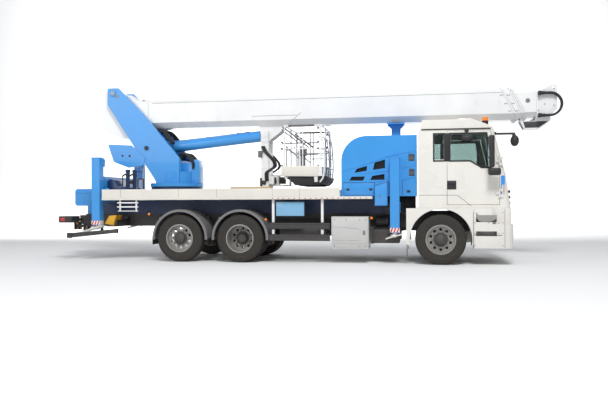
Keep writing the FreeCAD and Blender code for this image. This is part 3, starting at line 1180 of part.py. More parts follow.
basket_x = rotator_x + "+basket_gap"
basket_front = basket_x + "+basket_depth"
basket_parts = [
    block("BasketFloor", (basket_x, basket_front), ("-basket_half", "basket_half"),
          ("basket_low", "basket_low+basket_floor")),
    cylinder("RotatorPin", "Z", ("fork_low+10", "rotator_high+15"), (rotator_x, "0"),
             "rotator_pin"),
]
for number, (low, high) in enumerate([
        ("fork_low+10", "fork_low+60-rotator_lip-running_gap"),
        ("rotator_high-30+rotator_lip+running_gap", "rotator_high+15")]):
    basket_parts.append(block("SwivelPlate%d" % number,
                              (rotator_x + "-swivel_half", basket_x + "+toe_wall"),
                              ("-swivel_half", "swivel_half"), (low, high)))
basket_parts.append(block("SwivelPost", (basket_x + "-5", basket_x + "+toe_wall"),
                          ("-swivel_half", "swivel_half"), ("fork_low+10", "rotator_high+15")))
for number, (low, high, near, far) in enumerate([
        (basket_x, basket_x + "+toe_wall", "-basket_half", "basket_half"),
        (basket_front + "-toe_wall", basket_front, "-basket_half", "basket_half"),
        (basket_x, basket_front, "-basket_half", "-basket_half+toe_wall"),
        (basket_x, basket_front, "basket_half-toe_wall", "basket_half")]):
    basket_parts.append(block("ToeBoard%d" % number, (low, high), (near, far),
                              ("basket_low", "basket_low+basket_floor+toe_board")))
post_x = [basket_x + "+post_inset", basket_front + "-post_inset"]
post_y = ["-basket_half+post_inset", "0", "basket_half-post_inset"]
for column_number, x in enumerate(post_x):
    for row_number, y in enumerate(post_y):
        basket_parts.append(cylinder("BasketPost%d%d" % (column_number, row_number), "Z",
                                     ("basket_low+basket_floor+toe_board-post_foot",
                                      "basket_top-basket_tube"), (x, y), "basket_tube"))
for level, height in enumerate(("mid_rail", "basket_top-basket_tube")):
    for number, x in enumerate(post_x):
        basket_parts.append(cylinder("CrossRail%d%d" % (level, number), "Y",
                                     (post_y[0], post_y[2]), (x, height), "rail_radius"))
    for number, y in enumerate((post_y[0], post_y[2])):
        basket_parts.append(cylinder("SideRail%d%d" % (level, number), "X",
                                     (post_x[0], post_x[1]), (y, height), "rail_radius"))
for number, x in enumerate(post_x):
    for side, y in enumerate((post_y[0], post_y[2])):
        ball = document.addObject("Part::Sphere", "CornerBall%d%d" % (number, side))
        tie(ball, Radius="corner_ball")
        basket_parts.append(place(ball, x, y, "basket_top-basket_tube"))
node("basket", join("Basket", basket_parts))

# Basket's underside: a rubber tray that the basket parks on, turned up at both ends

node("basket_base", profile("BasketBase", "XZ", ("-basket_half+tray_inset", "basket_half-tray_inset"), [[
    (basket_x + "+tray_back", "basket_low"),
    (basket_x + "+tray_back+tray_slope", "basket_low-tray_drop"),
    (basket_front + "-tray_nose", "basket_low-tray_drop"),
    (basket_front + "+tray_reach", "basket_low-tray_rise"),
    (basket_front + "+tray_reach", "basket_low")]]))

# Outriggers: a cross tube, a sliding beam with its column, and the leg with its foot

for end in ("rear", "front"):
    word = end.capitalize()
    x = "(" + back("%s_outrigger_back" % end) + ")"
    low, high = "%s_beam_low" % end, "%s_beam_high" % end
    outer = (x + "-beam_side/2-beam_wall", x + "+beam_side/2+beam_wall")
    box_parts = [carve(word + "CrossTube",
                       block(word + "CrossSolid", outer, ("-outrigger_half", "outrigger_half"),
                             (low, high)),
                       [block(word + "CrossRoom", (x + "-beam_side/2", x + "+beam_side/2"),
                              ("-outrigger_half-1", "outrigger_half+1"),
                              (low + "+beam_wall", high + "-beam_wall"))])]
    for side, sign in (("Left", "1"), ("Right", "-1")):
        if end == "rear":
            foot = ("sub_half-sub_wall", "sub_half") if side == "Left" \
                else ("-sub_half", "-sub_half+sub_wall")
            box_parts.append(block(word + "Pedestal" + side, outer, foot, ("sub_high", low)))
            far = ("pedestal_inner", "pedestal_outer") if side == "Left" \
                else ("-pedestal_outer", "-pedestal_inner")
            box_parts.append(block(word + "Gusset" + side, outer, far, ("gusset_low", low)))
        else:
            foot = ("rail_offset-rail_width/2", "rail_offset+rail_width/2") if side == "Left" \
                else ("-rail_offset-rail_width/2", "-rail_offset+rail_width/2")
            box_parts.append(block(word + "Pedestal" + side, outer, foot, ("rail_high", low)))
    if end == "rear":
        box_parts.append(block("RearShelf", outer, ("-pedestal_outer", "pedestal_outer"),
                               ("gusset_low", "sub_high+40")))
        shelf_cut = block("ShelfCut", (x + "-300", x + "+300"), ("-sub_half", "sub_half"),
                          ("gusset_low-1", "sub_high"))
        rear_box = carve("RearBox", join("RearBoxWhole", box_parts), [shelf_cut])
        cabinet_body = profile("CabinetBody", "XZ", ("-control_half", "control_half"), [[
            (back("control_back"), "control_low"), (back("sub_back"), "control_low"),
            (back("sub_back"), "control_high"), (back("control_back"), "control_high")]])
        cabinet_rear = sheet_value(back("control_back-1"))
        soften(cabinet_body, "control_corner",
               lambda edge: middle(edge).x < cabinet_rear and along(edge, "Y"))
        cabinet = join("ControlCabinet", [
            cabinet_body,
            block("CabinetFoot", (back("rail_back"), back("sub_back")),
                  ("-control_half", "control_half"), ("rail_high", "control_low+1"))])
        node("rear_outrigger_box", group("RearBoxes", [rear_box, cabinet]))
    else:
        node("front_outrigger_box", join("FrontBox", box_parts))
    column_y = ("-column_inner-column_side", "-column_inner")
    column_low, column_high = "%s_column_low" % end, "%s_column_high" % end
    beam = carve(word + "BeamRight", join(word + "BeamWhole", [
        block(word + "Beam", (x + "-beam_side/2+beam_clear", x + "+beam_side/2-beam_clear"),
              ("-column_inner-10", "-beam_middle"),
              (low + "+beam_wall+running_gap", high + "-beam_wall-beam_clear")),
        block(word + "Column", (x + "-column_side/2", x + "+column_side/2"), column_y,
              (column_low, column_high)),
    ]), [cylinder(word + "ColumnBore", "Z", (column_low + "-1", column_high + "-60"),
                  (x, "-column_inner-column_side/2"), "ram_radius+running_gap")])
    pair("%s_beam" % end, beam)
    pad_low = "%s_pad_low" % end
    leg = join(word + "LegRight", [
        cylinder(word + "Ram", "Z", (pad_low + "+pad_thickness", column_high + "-ram_rest"),
                 (x, "-column_inner-column_side/2"), "ram_radius"),
        cylinder(word + "Pad", "Z", (pad_low, pad_low + "+pad_thickness"),
                 (x, "-column_inner-column_side/2"), "pad_radius"),
        cylinder(word + "PadNeck", "Z", (pad_low, pad_low + "+pad_thickness+40"),
                 (x, "-column_inner-column_side/2"), "pad_neck+20"),
    ])
    pair("%s_leg" % end, leg)

# Toolboxes on both sides, carried from the rails

boxes = []
for side in ("Left", "Right"):
    def across(near, far):
        """A stretch across the truck on this side."""
        return (near, far) if side == "Left" else ("-(%s)" % far, "-(%s)" % near)
    boxes.append(join("Toolbox" + side, [
        block("ToolboxBody" + side, (back("toolbox_back"), back("toolbox_front")),
              across("toolbox_inner", "toolbox_outer"), ("toolbox_low", "toolbox_high")),
        block("ToolboxArmA" + side, (back("toolbox_back-80"), back("toolbox_back-150")),
              across("rail_offset+rail_width/2", "toolbox_inner+5"),
              ("rail_low", "toolbox_high-40")),
        block("ToolboxArmB" + side, (back("toolbox_front+150"), back("toolbox_front+80")),
              across("rail_offset+rail_width/2", "toolbox_inner+5"),
              ("rail_low", "toolbox_high-40")),
    ]))
node("toolboxes", group("Toolboxes", boxes))

# Side guards: two planks on posts hung from the deck

guards = []
for side in ("Left", "Right"):
    def across(near, far):
        """A stretch across the truck on this side."""
        return (near, far) if side == "Left" else ("-(%s)" % far, "-(%s)" % near)
    pieces = []
    for number in (0, 1):
        low = "guard_low+%d*(guard_plank+guard_gap)" % number
        pieces.append(block("Guard%s%d" % (side, number), (back("guard_back"), back("guard_front")),
                            across("guard_out-guard_wall", "guard_out"), (low, low + "+guard_plank")))
    for number, place_x in enumerate(("guard_back-60", "guard_front+190")):
        pieces.append(block("GuardPost%s%d" % (side, number),
                            (back(place_x), back(place_x + "-50")),
                            across("guard_out-guard_wall-40", "guard_out-guard_wall+1"),
                            ("guard_low", "deck_low")))
    guards.append(join("GuardSet" + side, pieces))
node("side_guards", group("SideGuards", guards))

# Mudguards: half rings over the rear wheels, on arms from the rails

guards = []
for axle_name, axle in (("Drive", drive_x), ("Trailing", trailing_x)):
    for side in ("Left", "Right"):
        def across(near, far):
            """A stretch across the truck on this side."""
            return (near, far) if side == "Left" else ("-(%s)" % far, "-(%s)" % near)
        key = axle_name + side
        ring = carve("MudRing" + key,
                     cylinder("MudOuter" + key, "Y", across("mudguard_inner", "mudguard_outer"),
                              (axle, "tyre_radius"), "mudguard_radius+mudguard_wall"),
                     [cylinder("MudInner" + key, "Y", across("mudguard_inner-1", "mudguard_outer+1"),
                               (axle, "tyre_radius"), "mudguard_radius"),
                      block("MudBelow" + key, (axle + "-1000", axle + "+1000"),
                            across("mudguard_inner-1", "mudguard_outer+1"),
                            ("tyre_radius-1000", "mudguard_low"))])
        pieces = [ring]
        for number, sign in enumerate(("1", "-1")):
            pieces.append(cylinder("MudArm%s%d" % (key, number), "Y",
                                   across("rail_offset+rail_width/2", "mudguard_inner+80"),
                                   (axle + "+%s*mud_arm_x" % sign, "tyre_radius+mud_arm_z"),
                                   "mud_arm"))
        guards.append(join("Mudguard" + key, pieces))
node("mudguards", group("Mudguards", guards))

# Rear end: cross member with lamp arms, under-run bar, towing jaw and the blue cabinet

rear_parts = [
    block("RearMember", (back("rail_back+150"), back("rail_back")),
          ("-rail_offset-rail_width/2", "rail_offset+rail_width/2"), ("rail_low+40", "rail_high-30")),
    block("UnderrunBar", (back("underrun_back"), back("underrun_back-100")),
          ("-underrun_half", "underrun_half"), ("underrun_low", "underrun_high")),
    block("LampArm", (back("rail_back+150"), back("rail_back+90")),
          ("-lamp_arm_half", "lamp_arm_half"), ("lamp_arm_z", "lamp_arm_z+60")),
]
for side in ("Left", "Right"):
    def across(near, far):
        """A stretch across the truck on this side."""
        return (near, far) if side == "Left" else ("-(%s)" % far, "-(%s)" % near)
    rear_parts.append(block("UnderrunArm" + side, (back("underrun_back"), back("underrun_back-60")),
                            across("rail_offset-30", "rail_offset+30"),
                            ("underrun_low+10", "rail_low+60")))
jaw = join("JawWhole", [
    block("JawBody", (back("coupling_back-60"), back("rail_back+149")),
          ("-jaw_half", "jaw_half"), ("jaw_z", "jaw_z+coupling_length")),
    cylinder("JawRound", "Z", ("jaw_z", "jaw_z+coupling_length"), (back("coupling_back-60"), "0"),
             "jaw_half"),
])
rear_parts.append(jaw)
node("rear_frame", carve("RearFrame", join("RearWhole", rear_parts), [
    cylinder("JawBore", "Z", ("jaw_z-1", "jaw_z+coupling_length+1"),
             (back("coupling_back-60"), "0"), "coupling_bore")]))
tail_lamps = []
for side in ("Left", "Right"):
    low, high = ("tail_lamp_inner", "lamp_arm_half")
    span = (low, high) if side == "Left" else ("-" + high, "-" + low)
    tail_lamps.append(block("TailLamp" + side, (back("lamp_back"), back("rail_back+150")), span,
                            ("lamp_arm_z-20", "lamp_arm_z+110")))
node("lamps", group("Lamps", lamps + tail_lamps))

document.recompute()

# Every object is sound before anything is written

faults = [thing.Name for thing in document.Objects
          if "Invalid" in thing.State or "Error" in thing.State]
for label, thing in nodes.items():
    if thing.Shape.isNull() or not thing.Shape.isValid() or not thing.Shape.Solids:
        faults.append(label)
if faults:
    raise RuntimeError("failed pieces: " + ", ".join(faults))

os.makedirs("parts", exist_ok=True)
for label, thing in nodes.items():
    thing.Shape.exportStep(os.path.join("parts", label + ".step"))
print(len(nodes), "sub-parts written")
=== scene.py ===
import math

import bmesh
import bpy
from mathutils import Matrix, Vector


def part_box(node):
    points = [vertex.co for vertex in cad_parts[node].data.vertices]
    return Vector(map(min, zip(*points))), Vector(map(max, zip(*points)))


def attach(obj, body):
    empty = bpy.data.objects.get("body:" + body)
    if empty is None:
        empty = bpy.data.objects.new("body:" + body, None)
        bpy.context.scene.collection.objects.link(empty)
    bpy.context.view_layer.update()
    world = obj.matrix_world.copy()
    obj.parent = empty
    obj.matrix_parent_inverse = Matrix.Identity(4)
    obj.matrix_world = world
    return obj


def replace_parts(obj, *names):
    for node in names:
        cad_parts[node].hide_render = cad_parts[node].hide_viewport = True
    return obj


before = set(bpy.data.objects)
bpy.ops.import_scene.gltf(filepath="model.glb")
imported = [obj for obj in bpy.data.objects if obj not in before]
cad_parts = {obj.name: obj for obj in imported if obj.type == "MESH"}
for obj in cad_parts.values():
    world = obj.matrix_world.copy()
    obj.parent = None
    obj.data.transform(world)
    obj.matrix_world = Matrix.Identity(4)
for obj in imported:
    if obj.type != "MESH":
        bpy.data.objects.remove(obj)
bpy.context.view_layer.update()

# The view: a standing photographer's camera beside the truck, turned a little to its
# rear. Its place is measured from the front axle, which the front tyre's box gives.
low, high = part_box("front_wheel_tyre_right")
front_axle = (low[0] + high[0]) / 2
camera_place = Vector((front_axle - 0.448, -14.559, 1.257))
camera_yaw, camera_pitch, camera_roll = 10.0146, 0.0813, -0.2125
photo_width, focal_pixels, sensor_width = 608, 646.6, 36.0

camera_data = bpy.data.cameras.new("view")
camera_data.sensor_fit = "HORIZONTAL"
camera_data.sensor_width = sensor_width
camera_data.lens = sensor_width * focal_pixels / photo_width
camera_data.clip_end = 200
camera = bpy.data.objects.new("view", camera_data)
bpy.context.scene.collection.objects.link(camera)
camera.matrix_world = (
    Matrix.Translation(camera_place)
    @ Matrix.Rotation(math.radians(camera_yaw), 4, "Z")
    @ Matrix.Rotation(math.radians(90 + camera_pitch), 4, "X")
    @ Matrix.Rotation(math.radians(camera_roll), 4, "Z")
)
bpy.context.scene.camera = camera

# The studio: a pale floor that curves up into a backdrop, and three large soft lamps
# over it. The floor belongs to the stage and not to the truck.
floor_half, floor_rise, floor_bend = 60.0, 30.0, 8.0
floor_mesh = bmesh.new()
path = [floor_mesh.verts.new((-floor_half, -floor_half, 0)),
        floor_mesh.verts.new((-floor_half, floor_half / 2, 0))]
for step in range(1, 9):
    turn = math.radians(90) * step / 8
    path.append(floor_mesh.verts.new((-floor_half, floor_half / 2 + floor_bend * math.sin(turn),
                                      floor_bend * (1 - math.cos(turn)))))
path.append(floor_mesh.verts.new((-floor_half, floor_half / 2 + floor_bend, floor_rise)))
edges = [floor_mesh.edges.new(pair) for pair in zip(path, path[1:])]
swept = bmesh.ops.extrude_edge_only(floor_mesh, edges=edges)
bmesh.ops.translate(floor_mesh, vec=(2 * floor_half, 0, 0),
                    verts=[v for v in swept["geom"] if isinstance(v, bmesh.types.BMVert)])
bmesh.ops.recalc_face_normals(floor_mesh, faces=floor_mesh.faces)
floor_data = bpy.data.meshes.new("studio_floor")
floor_mesh.to_mesh(floor_data)
floor_mesh.free()
for face in floor_data.polygons:
    face.use_smooth = True
floor = bpy.data.objects.new("studio_floor", floor_data)
bpy.context.scene.collection.objects.link(floor)
floor_paint = bpy.data.materials.new("studio_floor")
floor_paint.use_nodes = True
floor_shader = floor_paint.node_tree.nodes["Principled BSDF"]
floor_shader.inputs["Base Color"].default_value = (0.90, 0.90, 0.90, 1)
floor_shader.inputs["Roughness"].default_value = 0.9
floor_data.materials.append(floor_paint)

sky = bpy.data.worlds.new("studio")
sky.use_nodes = True
sky.node_tree.nodes["Background"].inputs["Color"].default_value = (0.93, 0.96, 1.0, 1)
sky.node_tree.nodes["Background"].inputs["Strength"].default_value = 0.36
bpy.context.scene.world = sky
bpy.context.scene.view_settings.view_transform = "Standard"
for lamp_name, lamp_place, lamp_size, lamp_power in (
        ("key_lamp", (4.0, -14.0, 16.0), 5.0, 2650),
        ("fill_lamp", (-10.0, -13.0, 7.0), 8.0, 480),
        ("backdrop_lamp", (-8.0, 15.0, 18.0), 26.0, 13000)):
    lamp_data = bpy.data.lights.new(lamp_name, "AREA")
    lamp_data.size = lamp_size
    lamp_data.energy = lamp_power
    lamp = bpy.data.objects.new(lamp_name, lamp_data)
    lamp.location = lamp_place
    aim = Vector((-10, 38, 6)) if lamp_name == "backdrop_lamp" else Vector((0, 0, 1.5))
    lamp.rotation_euler = (aim - Vector(lamp_place)).to_track_quat("-Z", "Y").to_euler()
    bpy.context.scene.collection.objects.link(lamp)


# The frame rails, axles and driving gear: pressed and forged steel under satin black
# paint that has caught road dust. The finish made here is used again further up.
def node_group(name, inputs, outputs):
    """An empty shader group with its named sockets, and its two ends."""
    group = bpy.data.node_groups.new(name, "ShaderNodeTree")
    for socket, kind, value in inputs:
        made = group.interface.new_socket(socket, in_out="INPUT", socket_type="NodeSocket" + kind)
        made.default_value = value
    for socket, kind in outputs:
        group.interface.new_socket(socket, in_out="OUTPUT", socket_type="NodeSocket" + kind)
    return group, group.nodes.new("NodeGroupInput"), group.nodes.new("NodeGroupOutput")


def wire(tree, kind, settings=(), **links):
    """A node with its settings, its sockets fed by values or by other nodes' outputs."""
    made = tree.nodes.new("ShaderNode" + kind)
    for name, value in dict(settings).items():
        setattr(made, name, value)
    for name, source in links.items():
        socket = made.inputs[int(name[1:])] if name[0] == "i" and name[1:].isdigit() \
            else made.inputs[name.replace("_", " ")]
        if isinstance(source, bpy.types.NodeSocket):
            tree.links.new(source, socket)
        else:
            socket.default_value = source
    return made


def blend_colours(tree, mask, first, second):
    """The colour that goes from first to second with a mask."""
    mixer = wire(tree, "Mix", {"data_type": "RGBA"}, i0=mask, i6=first, i7=second)
    return mixer.outputs[2]


def build_paint_group():
    """Sprayed paint: cloudy tone, road dust low down, rounded edges and worn corners."""
    group, given, result = node_group("sprayed_surface", [
        ("Colour", "Color", (0.5, 0.5, 0.5, 1)), ("Dust Colour", "Color", (0.20, 0.17, 0.14, 1)),
        ("Dust", "Float", 0.3), ("Dust Height", "Float", 1.0), ("Roughness", "Float", 0.35),
        ("Edge Radius", "Float", 0.006), ("Texture Depth", "Float", 0.0004), ("Wear", "Float", 0.15)],
        [("Colour", "Color"), ("Roughness", "Float"), ("Normal", "Vector")])
    place = wire(group, "TexCoord").outputs["Object"]
    height = wire(group, "SeparateXYZ", Vector=place).outputs["Z"]
    cloud = wire(group, "TexNoise", Vector=place, Scale=1.7, Detail=5.0, Roughness=0.6).outputs["Fac"]
    speck = wire(group, "TexNoise", Vector=place, Scale=26.0, Detail=4.0, Roughness=0.7).outputs["Fac"]
    peel = wire(group, "TexNoise", Vector=place, Scale=210.0, Detail=2.0).outputs["Fac"]
    level = wire(group, "Math", {"operation": "DIVIDE"}, i0=height, i1=given.outputs["Dust Height"])
    fall = wire(group, "MapRange", Value=level.outputs[0], From_Min=0.15, From_Max=1.0, To_Min=1.0,
                To_Max=0.0)
    patch = wire(group, "MapRange", Value=speck, From_Min=0.35, From_Max=0.75, To_Min=0.35, To_Max=1.0)
    low_dust = wire(group, "Math", {"operation": "MULTIPLY"}, i0=fall.outputs[0], i1=patch.outputs[0])
    dust = wire(group, "Math", {"operation": "MULTIPLY", "use_clamp": True}, i0=low_dust.outputs[0],
                i1=given.outputs["Dust"])
    rounded = wire(group, "Bevel", {"samples": 4}, Radius=given.outputs["Edge Radius"])
    flat = wire(group, "NewGeometry").outputs["Normal"]
    along = wire(group, "VectorMath", {"operation": "DOT_PRODUCT"}, i0=rounded.outputs[0], i1=flat)
    edge = wire(group, "MapRange", Value=along.outputs["Value"], From_Min=0.995, From_Max=0.80,
                To_Min=0.0, To_Max=1.0)
    scuff = wire(group, "MapRange", Value=speck, From_Min=0.5, From_Max=0.68, To_Min=0.0, To_Max=1.0)
    worn = wire(group, "Math", {"operation": "MULTIPLY"}, i0=edge.outputs[0], i1=scuff.outputs[0])
    worn = wire(group, "Math", {"operation": "MULTIPLY", "use_clamp": True}, i0=worn.outputs[0],
                i1=given.outputs["Wear"])
    tone = wire(group, "MapRange", Value=cloud, From_Min=0.3, From_Max=0.7, To_Min=0.955, To_Max=1.045)
    toned = wire(group, "HueSaturation", Color=given.outputs["Colour"], Value=tone.outputs[0])
    dusty = blend_colours(group, dust.outputs[0], toned.outputs[0], given.outputs["Dust Colour"])
    chipped = blend_colours(group, worn.outputs[0], dusty, (0.30, 0.29, 0.28, 1))
    rougher = wire(group, "MapRange", Value=cloud, From_Min=0.3, From_Max=0.7, To_Min=-0.04, To_Max=0.05)
    rough = wire(group, "Math", {"operation": "ADD"}, i0=given.outputs["Roughness"], i1=rougher.outputs[0])
    matt = wire(group, "Math", {"operation": "MULTIPLY_ADD", "use_clamp": True}, i0=dust.outputs[0],
                i1=0.45, i2=rough.outputs[0])
    bump = wire(group, "Bump", Height=peel, Distance=given.outputs["Texture Depth"], Strength=0.6,
                Normal=rounded.outputs[0])
    group.links.new(chipped, result.inputs["Colour"])
    group.links.new(matt.outputs[0], result.inputs["Roughness"])
    group.links.new(bump.outputs[0], result.inputs["Normal"])
    return group


sprayed_surface = build_paint_group()


def surface_material(name, colour, metallic=0.0, coat=0.0, coat_roughness=0.05, specular=0.5, **group_values):
    """A solid finish on the sprayed surface group, with its own colour and values."""
    material = bpy.data.materials.new(name)
    material.use_nodes = True
    tree = material.node_tree
    shader = tree.nodes["Principled BSDF"]
    surface = tree.nodes.new("ShaderNodeGroup")
    surface.node_tree = sprayed_surface
    surface.inputs["Colour"].default_value = (*colour, 1)
    for key, value in group_values.items():
        surface.inputs[key.replace("_", " ").title()].default_value = value
    tree.links.new(surface.outputs["Colour"], shader.inputs["Base Color"])
    tree.links.new(surface.outputs["Roughness"], shader.inputs["Roughness"])
    tree.links.new(surface.outputs["Normal"], shader.inputs["Normal"])
    shader.inputs["Metallic"].default_value = metallic
    shader.inputs["Coat Weight"].default_value = coat
    shader.inputs["Coat Roughness"].default_value = coat_roughness
    shader.inputs["Specular IOR Level"].default_value = specular
    return material


def dress(material, *names):
    """CAD nodes take a material in place of their plain one."""
    for name in names:
        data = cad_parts[name].data
        data.materials.clear()
        data.materials.append(material)


chassis_black = surface_material("chassis_black", (0.018, 0.018, 0.020), roughness=0.45, coat=0.15,
                                 dust=0.5, dust_height=1.3, wear=0.3)
dress(chassis_black, "chassis_frame", "axles", "knuckle_left", "knuckle_right", "rear_frame")
# This dark grey is the drive line's own colour. At the boom's nose it is also used as painted shade.
drive_and_shade_grey = surface_material("drive_and_shade_grey", (0.075, 0.078, 0.080), metallic=0.5, roughness=0.55,
                              dust=0.6, dust_height=1.5, texture_depth=0.002)
dress(drive_and_shade_grey, "drive_line")


# The tyres: vulcanised rubber, turned about the axle, with moulded rings on the walls
# and rows of tread blocks between the grooves. A twin pair is one piece.
def at(x, y, z):
    """A place measured from the front axle along the truck, in metres."""
    return Vector((front_axle + x, y, z))


def finished(name, mesh, material, body, smooth_angle=35):
    """A piece from its mesh: smooth up to an angle, at the origin, riding on its body."""
    data = bpy.data.meshes.new(name)
    mesh.to_mesh(data)
    mesh.free()
    data.materials.append(material)
    data.shade_smooth()
    data.set_sharp_from_angle(angle=math.radians(smooth_angle))
    made = bpy.data.objects.new(name, data)
    bpy.context.scene.collection.objects.link(made)
    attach(made, body)
    return made


def slab(mesh, first, second, bevel=0.0, segments=2):
    """A block between two corners, its edges rounded; gives back its vertices."""
    first, second = Vector(first), Vector(second)
    made = bmesh.ops.create_cube(mesh, size=1.0)["verts"]
    bmesh.ops.scale(mesh, verts=made, vec=[abs(v) for v in second - first])
    bmesh.ops.translate(mesh, verts=made, vec=(first + second) / 2)
    if bevel:
        edges = list({edge for vert in made for edge in vert.link_edges})
        made = bmesh.ops.bevel(mesh, geom=edges, offset=bevel, segments=segments, profile=0.5,
                               affect="EDGES", material=-1)["verts"]
    return made


def rod(mesh, start, end, radius, end_radius=None, segments=16):
    """A round bar between two points, or a cone when its end radius differs."""
    start, end = Vector(start), Vector(end)
    made = bmesh.ops.create_cone(mesh, cap_ends=True, segments=segments, radius1=radius,
                                 radius2=radius if end_radius is None else end_radius,
                                 depth=(end - start).length)["verts"]
    turn = (end - start).to_track_quat("Z", "Y").to_matrix().to_4x4()
    bmesh.ops.transform(mesh, matrix=Matrix.Translation((start + end) / 2) @ turn, verts=made)
    return made


def turned(mesh, outline, centre, steps=64):
    """A body of revolution about a line along Y: the outline is (y, radius) pairs."""
    before = set(mesh.verts)
    line = [mesh.verts.new((centre[0], y, centre[2] + radius)) for y, radius in outline]
    edges = [mesh.edges.new(pair) for pair in zip(line, line[1:])]
    bmesh.ops.spin(mesh, geom=line + edges, cent=centre, axis=(0, 1, 0), dvec=(0, 0, 0),
                   angle=math.radians(360), steps=steps, use_merge=True)
    made = [vert for vert in mesh.verts if vert not in before]
    bmesh.ops.remove_doubles(mesh, verts=made, dist=0.00002)
    made = [vert for vert in mesh.verts if vert not in before]
    faces = list({face for vert in made for face in vert.link_faces})
    bmesh.ops.recalc_face_normals(mesh, faces=faces)
    return made


tread_depth, block_count, block_gap = 0.011, 64, 0.006
tread_rows = ((-0.097, 0.030), (-0.047, 0.038), (0.0, 0.038), (0.047, 0.038), (0.097, 0.030))
tyre_half, bead_radius, crown_drop = 0.148, 0.292, 0.006
wheel_words = ("front_wheel", "drive_wheel", "trailing_wheel")
side_signs = (("left", 1), ("right", -1))
tyre_rubber = surface_material("tyre_rubber", (0.024, 0.022, 0.020), roughness=0.74, dust=0.16,
                               dust_height=1.7, edge_radius=0.003, texture_depth=0.0015, wear=0.0,
                               specular=0.35)


def add_tyre(mesh, centre, radius, step_angle):
    """One tyre: the turned carcass and five rows of tread blocks round it."""
    floor_radius = radius - tread_depth
    half_outline = [(0.0, floor_radius), (0.112, floor_radius - 0.004), (0.118, radius - 0.010),
                    (0.139, radius - 0.026), (0.146, radius - 0.045), (0.152, radius - 0.070),
                    (0.1525, radius - 0.078), (0.156, radius - 0.082), (0.1575, radius - 0.092),
                    (0.1575, 0.378), (0.1555, 0.372), (0.1575, 0.366), (0.1555, 0.350),
                    (0.1515, 0.336), (0.1530, 0.330), (0.1480, 0.322), (0.1480, 0.312),
                    (0.1320, bead_radius)]
    outline = [(-y, r) for y, r in reversed(half_outline)] + half_outline[1:]
    turned(mesh, [(centre[1] + y, r) for y, r in outline], centre, steps=72)
    for row, (row_y, row_width) in enumerate(tread_rows):
        top = radius - crown_drop * (row_y / 0.110) ** 2
        length = 2 * math.pi * top / block_count - block_gap
        made = slab(mesh, (-length / 2, row_y - row_width / 2, floor_radius - 0.012),
                    (length / 2, row_y + row_width / 2, top))
        bmesh.ops.transform(mesh, verts=made, matrix=Matrix.Translation(Vector(centre))
                            @ Matrix.Rotation(step_angle * 0.5 * (row % 2), 4, "Y"))
        faces = list({face for vert in made for face in vert.link_faces})
        bmesh.ops.spin(mesh, geom=faces, cent=centre, axis=(0, 1, 0), use_duplicate=True,
                       angle=step_angle * (block_count - 1), steps=block_count - 1)


wheel_centres = {}
for word in wheel_words:
    for side, sign in side_signs:
        node = "%s_tyre_%s" % (word, side)
        low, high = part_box(node)
        radius = (high[2] - low[2]) / 2
        middle_x, middle_z = (low[0] + high[0]) / 2, (low[2] + high[2]) / 2
        outer_y = max(abs(low[1]), abs(high[1])) - tyre_half - 0.010
        wheel_centres[word, side] = (middle_x, sign * outer_y, middle_z)
        inner_y = min(abs(low[1]), abs(high[1])) + tyre_half + 0.010
        middles = [outer_y] if outer_y - inner_y < 0.05 else [outer_y, inner_y]
        tyre_mesh = bmesh.new()
        for middle_y in middles:
            add_tyre(tyre_mesh, (middle_x, sign * middle_y, middle_z), radius,
                     math.radians(360) / block_count)
        tyre = finished("%s_tyres_%s" % (word, side), tyre_mesh, tyre_rubber,
                        "%s_%s" % (word, side))
        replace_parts(tyre, node)

# The rims: pressed steel discs in silver paint. Nuts on studs hold each disc to its
# hub, which ends in a dark dust cap.
rim_silver = surface_material("rim_silver", (0.36, 0.355, 0.34), metallic=0.35, roughness=0.40,
                              dust=0.55, dust_height=1.3, edge_radius=0.005)
hub_dark = surface_material("hub_dark", (0.055, 0.055, 0.057), metallic=0.4, roughness=0.5, dust=0.5,
                            dust_height=1.3, edge_radius=0.004)
nut_steel = surface_material("nut_steel", (0.30, 0.29, 0.28), metallic=0.8, roughness=0.40, dust=0.4,
                             dust_height=1.3, edge_radius=0.002, wear=0.0)
dress(rim_silver, *["%s_rim_%s" % (word, side) for word in wheel_words for side, sign in side_signs])
stud_radius, nut_radius, nut_length, nut_count = 0.1675, 0.019, 0.030, 10
disc_faces = {"front_wheel": 0.055, "drive_wheel": -0.118, "trailing_wheel": 0.055}
for (word, side), centre in wheel_centres.items():
    sign = 1 if side == "left" else -1
    face_y = centre[1] + sign * disc_faces[word]
    nut_mesh = bmesh.new()
    for number in range(nut_count):
        turn = math.radians(360) * (number + 0.5) / nut_count
        x = centre[0] + stud_radius * math.sin(turn)
        z = centre[2] + stud_radius * math.cos(turn)
        rod(nut_mesh, (x, face_y, z), (x, face_y + sign * 0.006, z), 0.027, segments=20)
        rod(nut_mesh, (x, face_y, z), (x, face_y + sign * nut_length, z), nut_radius, 0.017, segments=6)
        rod(nut_mesh, (x, face_y, z), (x, face_y + sign * (nut_length + 0.008), z), 0.010, segments=10)
    finished("%s_nuts_%s" % (word, side), nut_mesh, nut_steel, "%s_%s" % (word, side))
    cap_mesh = bmesh.new()
    if disc_faces[word] > 0:
        cap_outline = [(0.001, 0.146), (0.010, 0.146), (0.016, 0.141), (0.018, 0.103), (0.058, 0.0985),
                       (0.064, 0.090), (0.066, 0.060), (0.072, 0.052), (0.075, 0.030), (0.076, 0.0)]
    else:
        cap_outline = [(0.001, 0.145), (0.012, 0.145), (0.018, 0.138), (0.020, 0.100), (0.072, 0.098),
                       (0.080, 0.088), (0.083, 0.050), (0.084, 0.0)]
    turned(cap_mesh, [(face_y + sign * y, r) for y, r in cap_outline], (centre[0], 0, centre[2]), steps=40)
    for number in range(8):
        turn = math.radians(45) * number
        x = centre[0] + 0.078 * math.sin(turn)
        z = centre[2] + 0.078 * math.cos(turn)
        rod(cap_mesh, (x, face_y + sign * 0.060, z), (x, face_y + sign * 0.071, z), 0.007, segments=6)
    finished("%s_hub_cap_%s" % (word, side), cap_mesh, hub_dark, "%s_%s" % (word, side))

